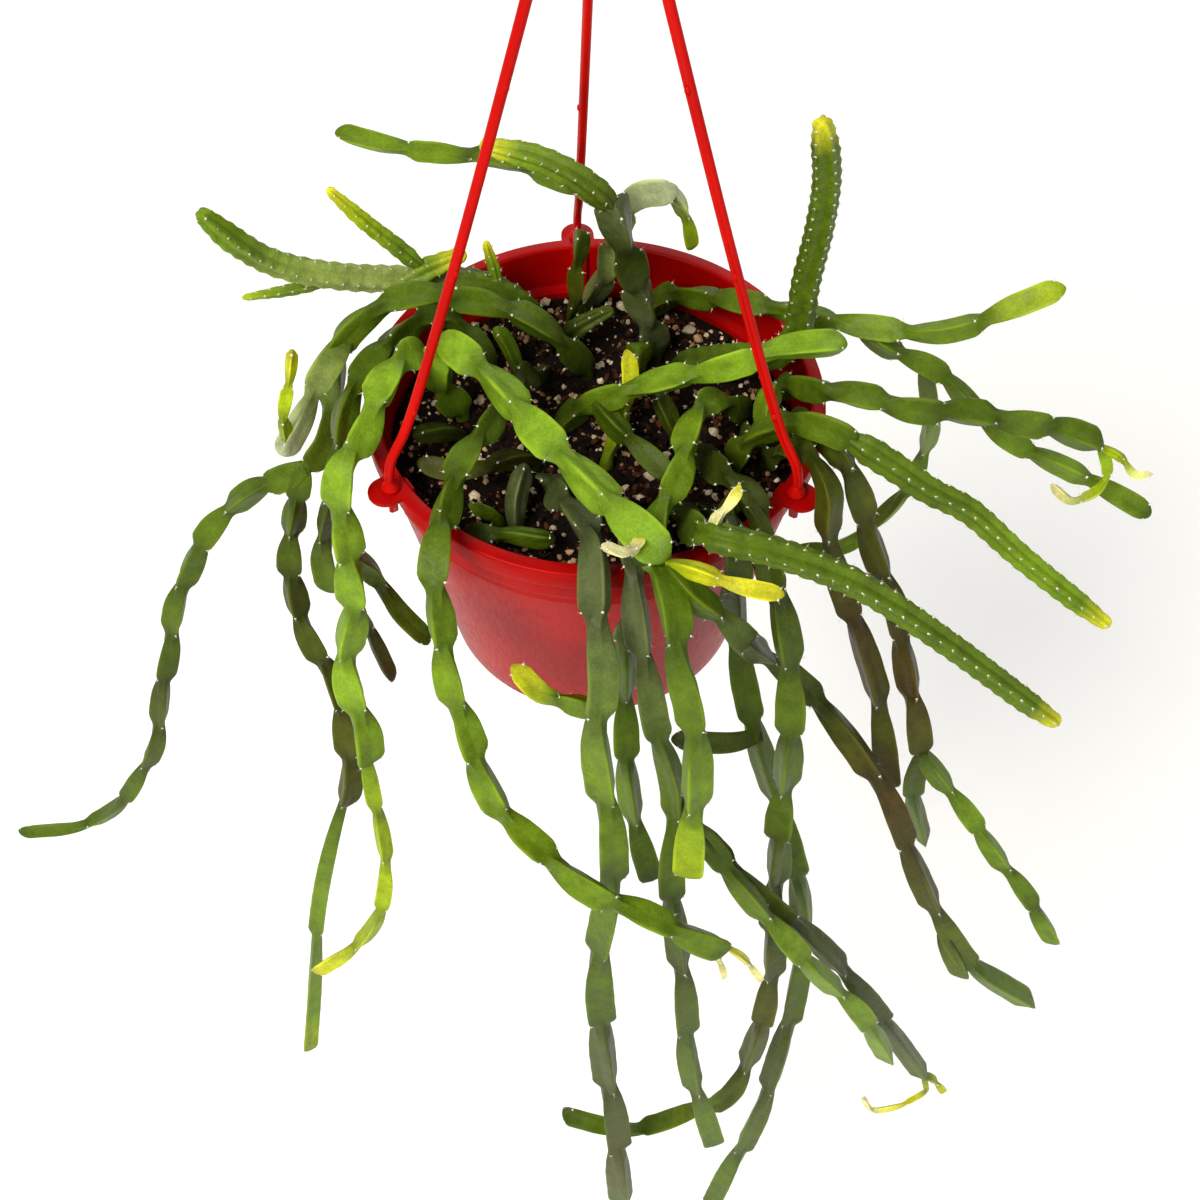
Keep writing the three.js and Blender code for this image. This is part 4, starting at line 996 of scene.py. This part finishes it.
def bevelLevels(low, high, bevel):
    # a quarter round of three steps at the bottom and the top
    return [(low, bevel), (low + 0.3 * bevel, 0.3 * bevel), (low + bevel, 0), (high - bevel, 0),
            (high - 0.3 * bevel, 0.3 * bevel), (high, bevel)]


def lugOutline(inset):
    # a tongue, straight at the wall and half round at its outer end
    half = pot["lugHalf"] - inset
    turn = np.linspace(-math.pi / 2, math.pi / 2, 17)
    end = np.column_stack([pot["lugReach"] - pot["lugHalf"] + half * np.cos(turn), half * np.sin(turn)])
    inner = pot["lugInner"]
    return np.vstack([[[inner, -half]], end, [[inner, half]], [[inner, 0]]])


def boxOutline(size, corner):
    # gives a function: the outline of a box with cut corners, drawn in on all sides by an inset
    def outline(inset):
        x, y = size[0] / 2 - inset, size[1] / 2 - inset
        return np.array([(x, corner - y), (x, y - corner), (x - corner, y), (corner - x, y),
                         (-x, y - corner), (-x, corner - y), (corner - x, -y), (x - corner, -y)])
    return outline


def moved(skin, x, y, degrees):
    # a skin shifted in the plane, then turned about the upright axis
    a = math.radians(degrees)
    turn = np.array([[math.cos(a), math.sin(a), 0], [-math.sin(a), math.cos(a), 0], [0, 0, 1]])
    return {**skin, "points": (skin["points"] + np.array([x, y, 0])) @ turn}


def post(radius, low, high, sides=32):
    # an upright cylinder
    return lathed(np.array([(radius, low), (radius, high)], float), sides)


def bareMesh(name, skin):
    # a mesh of faces alone, in metres, for the booleans
    mesh = bpy.data.meshes.new(name)
    faces = skin["quads"].tolist() + skin["triangles"].tolist()
    mesh.from_pydata((skin["points"] * mm + np.array([0, 0, rimHeight])).tolist(), [], faces)
    return mesh


def carved(skin, steps):
    # unites a skin with other skins or takes them out of it, one exact boolean after another
    body = bpy.data.objects.new("carving", bareMesh("carving", facingOut(skin)))
    scene.collection.objects.link(body)
    for tool, operation in steps:
        cutter = bpy.data.objects.new("cutter", bareMesh("cutter", facingOut(tool)))
        scene.collection.objects.link(cutter)
        boolean = body.modifiers.new("boolean", "BOOLEAN")
        boolean.operation = operation
        boolean.object = cutter
        boolean.solver = "EXACT"
        boolean.use_self = tool.get("overlapping", False)
        before = body.data
        graph = bpy.context.evaluated_depsgraph_get()
        made = bpy.data.meshes.new_from_object(body.evaluated_get(graph))
        body.modifiers.remove(boolean)
        body.data = made
        bpy.data.meshes.remove(before)
        bpy.data.meshes.remove(cutter.data)
    mesh = body.data
    bpy.data.objects.remove(body)
    return mesh


def plasticMaterial(name, tone, deepTone, roughness):
    # polypropylene, injection moulded: glossy, a little see-through, with faint flow clouds and
    # handling scratches, so its highlights are soft and slightly broken
    material, tree = newMaterial(name)
    coordinates = addNode(tree, "ShaderNodeTexCoord").outputs["Object"]
    clouds = addNode(tree, "ShaderNodeTexNoise", {"Vector": coordinates, "Scale": 28, "Detail": 3})
    deep = addNode(tree, "ShaderNodeMapRange", {"Value": clouds.outputs["Fac"], "From Min": 0.35,
                                                "From Max": 0.65})
    colour = addNode(tree, "ShaderNodeMix", {0: deep.outputs[0], 6: toLinear(tone), 7: toLinear(deepTone)},
                     data_type="RGBA")
    stretched = addNode(tree, "ShaderNodeMapping", {"Vector": coordinates, "Scale": (900, 900, 120)})
    rubbed = addNode(tree, "ShaderNodeTexNoise", {"Vector": stretched.outputs[0], "Scale": 1, "Detail": 4})
    gloss = addNode(tree, "ShaderNodeMapRange", {"Value": rubbed.outputs["Fac"], "From Min": 0.3,
                                                 "From Max": 0.75, "To Min": roughness,
                                                 "To Max": roughness + 0.16})
    bump = addNode(tree, "ShaderNodeBump", {"Height": rubbed.outputs["Fac"], "Strength": 0.06,
                                            "Distance": 0.0002})
    shader = addNode(tree, "ShaderNodeBsdfPrincipled", {
        "Base Color": colour.outputs[2], "Roughness": gloss.outputs[0], "IOR": 1.49,
        "Specular IOR Level": 0.07, "Subsurface Weight": 0.1, "Subsurface Radius": (1.0, 0.15, 0.1),
        "Subsurface Scale": 0.0015, "Normal": bump.outputs["Normal"]})
    finishMaterial(tree, shader.outputs["BSDF"])
    return material


def makePot():
    # the lathed shell; then for each strand a notch in the skirt, a lug, a pad and a hole; the drains
    ends = [(0, potSection[k][1]) for k in (0, -1)]
    section = subdivided(filleted(potSection, *ends), pot["spanMm"])[1:-1]
    steps = []
    for degrees in pot["strands"]:
        notch = stacked(boxOutline(pot["notchSize"], pot["notchCorner"]),
                        [(height, 0) for height in pot["notchSpan"]])
        lug = stacked(lugOutline, bevelLevels(-pot["lugThick"], 0, pot["lugBevel"]))
        pad = stacked(boxOutline(pot["padSize"], pot["padCorner"]),
                      bevelLevels(*pot["padSpan"], pot["padBevel"]))
        hole = post(pot["hole"], *pot["holeSpan"])
        steps += [(moved(notch, pot["notchAt"], 0, degrees), "DIFFERENCE"),
                  (moved(lug, 0, 0, degrees), "UNION"),
                  (moved(pad, pot["padAt"], 0, degrees), "UNION"),
                  (moved(hole, pot["circle"], 0, degrees), "DIFFERENCE")]
    for k in range(pot["drains"]):
        hole = post(pot["drainRadius"], *pot["drainSpan"])
        steps.append((moved(hole, pot["drainCircle"], 0, (k + 0.5) * 360 / pot["drains"]), "DIFFERENCE"))
    mesh = carved(lathed(section, pot["turns"]), steps)
    mesh.name = "pot_shell"
    mesh.shade_smooth()
    mesh.set_sharp_from_angle(angle=math.radians(pot["sharpDegrees"]))
    mesh.materials.clear()
    mesh.materials.append(plasticMaterial("redPolypropyleneMoulded", pot["tone"], pot["deepTone"],
                                          pot["roughness"]))
    piece = bpy.data.objects.new("pot_shell", mesh)
    scene.collection.objects.link(piece)
    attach(piece, "root")
    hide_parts("pot")
    print("pot:", sum(len(face.vertices) - 2 for face in mesh.polygons), "triangles")


# the hanger: three strands with barbed feet, a hub and a hook, one moulding

hanger = {"round": 1.6, "groove": 0.62, "grooveWide": 0.42, "sides": 20, "ringMm": 4,
          "nubs": (29, 76, 130), "nubMm": 1.0, "nubTall": 1.3, "nubOut": 1.15, "nubSides": 10,
          "barb": ((-1.9, 3.0), (-10.9, 0.9)), "barbThick": (1.15, 1.6),
          "barbRings": ((0, 0.9), (0.03, 1), (0.5, 1), (0.97, 1), (1, 0.8)),
          "collarSides": 24, "hubSides": 48, "hookRingMm": 1.5, "hookEndMm": 0.5, "sharpDegrees": 38,
          "tone": "#be0c05", "deepTone": "#a80703", "roughness": 0.3}
# corners as (radius, height, fillet); half of the hook's outline, the other half is its opposite
collarSection = [(3, 0.3, 0.2), (3, 0.9, 0.4), (1.9, 2.7, 1.2), (1.5, 3.8, 0.3)]
hubSection = [(3, 204.5, 0.6), (5, 208.5, 1.5), (5, 215.5, 1.2), (3.5, 217.5, 0.8)]
hookHalf = np.array([(2, 1.4), (1.7, 2.1), (1.2, 2.5), (-1.2, 2.5), (-1.7, 2.1), (-2, 1.4)])
strandRoute = [(1.5, 0, 212), (24.915, 0, 141.37), (49.83, 0, 69.63), (68.705, 0, 21.1), (73.7, 0, 13),
               (75.5, 0, 6), (75.5, 0, 2), (75.5, 0, -3.2)]
hookRoute = [(0, 0, 209), (0, 0, 216)] + [
    (13 * math.cos(math.radians(a)), 0, 234 + 13 * math.sin(math.radians(a))) for a in range(-50, 206, 30)]


def sweptOutline(route, outline, stepMm, ends=0.4):
    # outline point (a, b) goes to place + a normal + b binormal; both ends are drawn in a little
    length, frameAt = carriedFrames(route)
    inside = np.linspace(ends, length - ends, max(2, math.ceil(length / stepMm)))
    where = np.concatenate([[0, 0.3 * ends], inside, [length - 0.3 * ends, length]])
    size = np.ones(len(where))
    reach = np.abs(outline).max()
    size[[0, -1]] = 1 - ends / reach
    size[[1, -2]] = 1 - 0.3 * ends / reach
    place, normal, binormal, _ = frameAt(where)
    flat = outline[None] * size[:, None, None]
    return closedTube(place[:, None] + flat[:, :, :1] * normal[:, None]
                      + flat[:, :, 1:] * binormal[:, None])


def strandOutline():
    # a round of radius r with a groove pressed along one side: r (1 - depth exp(-(a / width)^2))
    angle = np.arange(hanger["sides"]) * 2 * np.pi / hanger["sides"]
    off = (angle + np.pi) % (2 * np.pi) - np.pi
    radius = hanger["round"] * (1 - (1 - hanger["groove"]) * np.exp(-(off / hanger["grooveWide"]) ** 2))
    return np.column_stack([radius * np.cos(angle), radius * np.sin(angle)])


def barbSkin():
    # an arrow's head that narrows downward, with a ridge down the middle of both its faces
    levels = []
    (top, wide), (low, narrow) = hanger["barb"]
    edge, ridge = hanger["barbThick"]
    for share, size in hanger["barbRings"]:
        half = (wide + (narrow - wide) * share) * size
        height = top + (low - top) * share
        outline = [(ridge * size, 0), (edge * size, 0.75 * half), (0.7 * edge * size, half),
                   (-0.7 * edge * size, half), (-edge * size, 0.75 * half), (-ridge * size, 0),
                   (-edge * size, -0.75 * half), (-0.7 * edge * size, -half),
                   (0.7 * edge * size, -half), (edge * size, -0.75 * half)]
        levels.append([(x, y, height) for x, y in outline])
    return closedTube(np.array(levels))


def makeHanger():
    # for each strand a swept round, a lathed collar, a barb and nubs; then the hub and the swept hook
    parts = []
    strand = sweptOutline(strandRoute, strandOutline(), hanger["ringMm"])
    collarEnds = [(0, collarSection[k][1]) for k in (0, -1)]
    collar = lathed(filleted(collarSection, *collarEnds, 3)[1:-1], hanger["collarSides"])
    length, frameAt = carriedFrames(strandRoute)
    along = np.linspace(0, length, 400)
    place, normal, binormal, _ = frameAt(along)
    for degrees in pot["strands"]:
        parts += [moved(strand, 0, 0, degrees), moved(collar, pot["circle"], 0, degrees),
                  moved(barbSkin(), pot["circle"], 0, degrees)]
        for height in hanger["nubs"]:
            k = int(np.argmin(np.abs(place[:, 2] - height)))
            arc = np.array([(math.sin(a), -math.cos(a)) for a in np.linspace(0.3, 2.84, 6)])
            ball = lathed(arc * hanger["nubMm"], hanger["nubSides"])
            inward = math.cos(math.radians(degrees)) > 0.2
            side = normal[k] * (hanger["nubOut"] if inward else -hanger["nubOut"])
            ball["points"] = ball["points"] * np.array([1, 1, hanger["nubTall"]]) + place[k] + side
            parts.append(moved(ball, 0, 0, degrees))
    hubEnds = [(0, hubSection[k][1]) for k in (0, -1)]
    parts.append(lathed(filleted(hubSection, *hubEnds)[1:-1], hanger["hubSides"]))
    parts.append(sweptOutline(hookRoute, np.vstack([hookHalf, -hookHalf]), hanger["hookRingMm"],
                              hanger["hookEndMm"]))
    whole = joined([facingOut(part) for part in parts])
    plain = {key: whole[key] for key in ("points", "quads", "triangles")}
    material = plasticMaterial("redPolypropyleneStrand", hanger["tone"], hanger["deepTone"],
                               hanger["roughness"])
    piece = newPiece("hanger_moulding", plain, [material], hanger["sharpDegrees"])
    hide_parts("hanger")
    print("hanger:", 2 * len(whole["quads"]) + len(whole["triangles"]), "triangles")


# the soil: loose dark bark mix with pale grit, heaped a little unevenly

soil = {"rim": 67.6, "top": -21, "turns": 300, "ringMm": 0.9, "bodyTone": "#120804", "sharpDegrees": 50,
        "bumps": 700, "bumpMm": (1.2, 3.4), "heightMm": 0.7, "gain": 1.6, "heights": (-1.0, 0.8),
        "holeRadius": 3.15, "holeSpan": (-28, -18), "holeSides": 16, "holeClear": (0.9, 0.6),
        "chips": 3400, "grit": 1800, "gritScale": 0.42, "wallClear": 1.5, "stemClear": 0.5,
        "chipLift": 0.25, "gritLift": 0.35, "liftVaries": (0.4, 1.6), "shadeVaries": (0.75, 1.2),
        "cornerVaries": (0.72, 1.12), "tilt": 0.28, "stemsBelow": -12, "bigKind": 3, "seed": 7}
soilSection = [(48, -107.7), (51, -104.7), (59.3, -64), (67.6, -23)]
chipKinds = [  # share of the chips, longest half size, flatness, tones
    (0.48, (0.9, 2.8), (1, 0.6, 0.4), ("#170a04", "#221007", "#0f0703")),
    (0.28, (0.7, 2.2), (1, 0.65, 0.5), ("#3f1f0d", "#532d15", "#2e170a")),
    (0.15, (0.6, 1.5), (1, 0.8, 0.7), ("#a5825c", "#ba9a72", "#7c593a")),
    (0.09, (0.8, 1.9), (1, 0.85, 0.75), ("#d6c2a2", "#e0cfb3", "#bf9c76")),
]
bigChips = [(9, 62, 3.0), (33, 50, 3.2), (-43, 51, 2.8), (-39, 15, 2.2), (40, 2, 2.4), (-18, 64, 2.2),
            (18, -18, 2.4), (-25, -16, 2.2), (-39, -27, 2.4), (36, 46, 2.2), (-40, 47, 2.0), (13, 59, 2.2)]


def soilHeight(x, y, draw):
    # a sum of round bumps, height exp(-d^2 / size^2), up and down by turns
    total = np.zeros(x.shape)
    for _ in range(soil["bumps"]):
        cx, cy = draw.uniform(-soil["rim"], soil["rim"], 2)
        size = draw.uniform(*soil["bumpMm"])
        total += draw.uniform(-1, 1) * np.exp(-((x - cx) ** 2 + (y - cy) ** 2) / size ** 2)
    return np.clip(total * soil["heightMm"] * soil["gain"], *soil["heights"])


def soilBody(draw):
    # rings up the wall and then inward over the uneven top, closed at both ends
    radii = np.arange(soil["rim"], soil["ringMm"], -soil["ringMm"])
    angle = np.arange(soil["turns"]) * 2 * np.pi / soil["turns"]
    x, y = radii[:, None] * np.cos(angle), radii[:, None] * np.sin(angle)
    top = np.stack([x, y, soil["top"] + soilHeight(x, y, draw)], axis=-1)
    side = np.array(soilSection)
    below = np.stack([side[:, :1] * np.cos(angle), side[:, :1] * np.sin(angle),
                      np.repeat(side[:, 1:], len(angle), axis=1)], axis=-1)
    return closedTube(np.concatenate([below, top]))


def chipSkins(centres, sizes, flats, colours, draw):
    # icosahedra, each corner drawn in or out, squeezed along their own axes, then turned by the matrix
    # of a random unit quaternion (w, a, b, c) that leans towards upright turns, so flat bits lie flat
    golden = (1 + 5 ** 0.5) / 2
    base = np.array([(-1, golden, 0), (1, golden, 0), (-1, -golden, 0), (1, -golden, 0), (0, -1, golden),
                     (0, 1, golden), (0, -1, -golden), (0, 1, -golden), (golden, 0, -1), (golden, 0, 1),
                     (-golden, 0, -1), (-golden, 0, 1)]) / math.hypot(1, golden)
    faces = np.array([(0, 11, 5), (0, 5, 1), (0, 1, 7), (0, 7, 10), (0, 10, 11), (1, 5, 9), (5, 11, 4),
                      (11, 10, 2), (10, 7, 6), (7, 1, 8), (3, 9, 4), (3, 4, 2), (3, 2, 6), (3, 6, 8),
                      (3, 8, 9), (4, 9, 5), (2, 4, 11), (6, 2, 10), (8, 6, 7), (9, 8, 1)])
    count = len(centres)
    corners = draw.uniform(*soil["cornerVaries"], (count, 12, 1))
    shapes = base[None] * corners * flats[:, None] * sizes[:, None, None]
    turn = draw.normal(size=(count, 4)) * np.array([1, soil["tilt"], soil["tilt"], 1])
    turn /= np.linalg.norm(turn, axis=1)[:, None]
    w, a, b, c = turn.T
    matrix = np.stack([1 - 2 * (b * b + c * c), 2 * (a * b - c * w), 2 * (a * c + b * w),
                       2 * (a * b + c * w), 1 - 2 * (a * a + c * c), 2 * (b * c - a * w),
                       2 * (a * c - b * w), 2 * (b * c + a * w), 1 - 2 * (a * a + b * b)], axis=-1)
    shapes = np.einsum("nij,nkj->nki", matrix.reshape(-1, 3, 3), shapes) + centres[:, None]
    return {"points": shapes.reshape(-1, 3), "tone": np.repeat(colours, 12, axis=0),
            "quads": np.zeros((0, 4), int),
            "triangles": (faces[None] + (np.arange(count) * 12)[:, None, None]).reshape(-1, 3)}


def soilMaterial():
    # bark and pumice, broken and damp: matt, with its own tone a piece and a fine crumbly grain
    material, tree = newMaterial("barkMixCrumbled")
    tone = addNode(tree, "ShaderNodeAttribute", attribute_name="tone")
    coordinates = addNode(tree, "ShaderNodeTexCoord").outputs["Object"]
    crumbs = addNode(tree, "ShaderNodeTexNoise", {"Vector": coordinates, "Scale": 900, "Detail": 5,
                                                  "Roughness": 0.65})
    shade = addNode(tree, "ShaderNodeMapRange", {"Value": crumbs.outputs["Fac"], "From Min": 0.3,
                                                 "From Max": 0.7, "To Min": 0.55, "To Max": 1.35})
    colour = addNode(tree, "ShaderNodeVectorMath", {0: tone.outputs["Color"], "Scale": shade.outputs[0]},
                     operation="SCALE")
    bump = addNode(tree, "ShaderNodeBump", {"Height": crumbs.outputs["Fac"], "Strength": 0.8,
                                            "Distance": 0.0006})
    shader = addNode(tree, "ShaderNodeBsdfPrincipled", {
        "Base Color": colour.outputs[0], "Roughness": 0.88, "Specular IOR Level": 0.15,
        "Normal": bump.outputs["Normal"]})
    finishMaterial(tree, shader.outputs["BSDF"])
    return material


def wantedChips(draw):
    # (x, y, size or nothing yet, kind): the big ones listed, the rest evenly over the round
    wanted = [(x, y, size, soil["bigKind"]) for x, y, size in bigChips]
    shares = np.array([kind[0] for kind in chipKinds])
    for _ in range(soil["chips"] + soil["grit"]):
        radius = (soil["rim"] - soil["wallClear"]) * math.sqrt(draw.uniform())
        angle = draw.uniform(0, 2 * math.pi)
        wanted.append((radius * math.cos(angle), radius * math.sin(angle), None,
                       int(draw.choice(len(chipKinds), p=shares))))
    return wanted


def placedChips(wanted, lowStems, roots, draw):
    # those of the wanted chips that stay clear of the stems and of the holes round them
    taken = KDTree(len(lowStems))
    for index, point in enumerate(lowStems):
        taken.insert(point, index)
    taken.balance()
    centres, sizes, flats, colours = [], [], [], []
    holeShare, sizeShare = soil["holeClear"]
    for index, (x, y, size, kind) in enumerate(wanted):
        _, sizeRange, flat, toneNames = chipKinds[kind]
        small = index > soil["chips"]
        if size is None:
            size = draw.uniform(*sizeRange) * (soil["gritScale"] if small else 1)
        lift = soil["gritLift"] if small else soil["chipLift"]
        z = soil["top"] + lift * size * draw.uniform(*soil["liftVaries"]) * flat[2]
        nearest = taken.find((x, y, z))[2]
        if nearest is not None and nearest < size + soil["stemClear"]:
            continue
        clear = soil["holeRadius"] * holeShare + size * sizeShare
        if min(math.hypot(x - rootX, y - rootY) for rootX, rootY in roots) < clear:
            continue
        centres.append((x, y, z))
        sizes.append(size)
        flats.append(flat)
        colour = np.array(toLinear(toneNames[int(draw.integers(len(toneNames)))]))
        colour[:3] *= draw.uniform(*soil["shadeVaries"])
        colours.append(colour)
    return [np.array(values) for values in (centres, sizes, flats, colours)]


def makeSoil(lowStems):
    # the body with a hole for each rooted stem, and the chips that lie on it
    draw = np.random.default_rng(soil["seed"])
    body = soilBody(draw)
    roots = [piece["route"][0][:2] for pieces in stems.values() for piece in pieces
             if piece.get("rooted")]
    hole = post(soil["holeRadius"], *soil["holeSpan"], soil["holeSides"])
    holes = joined([facingOut(moved(hole, x, y, 0)) for x, y in roots])
    holes["overlapping"] = True
    mesh = carved(body, [(holes, "DIFFERENCE")])
    points = np.empty(len(mesh.vertices) * 3)
    mesh.vertices.foreach_get("co", points)
    points = (points.reshape(-1, 3) - np.array([0, 0, rimHeight])) / mm
    mesh.calc_loop_triangles()
    faces = np.empty(len(mesh.loop_triangles) * 3, int)
    mesh.loop_triangles.foreach_get("vertices", faces)
    bpy.data.meshes.remove(mesh)
    dark = np.tile(toLinear(soil["bodyTone"]), (len(points), 1))
    chips = placedChips(wantedChips(draw), lowStems, roots, draw)
    whole = joined([{"points": points, "triangles": faces.reshape(-1, 3), "tone": dark},
                    facingOut(chipSkins(*chips, draw))])
    piece = newPiece("soil_mix", {**whole, "slots": np.zeros(len(whole["slots"]))}, [soilMaterial()],
                     soil["sharpDegrees"])
    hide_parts("soil")
    print("soil:", len(chips[0]), "chips,", 2 * len(whole["quads"]) + len(whole["triangles"]),
          "triangles")


lowStems = makeStems()
makePot()
makeHanger()
makeSoil(lowStems)
makeStudio()
makeCamera()
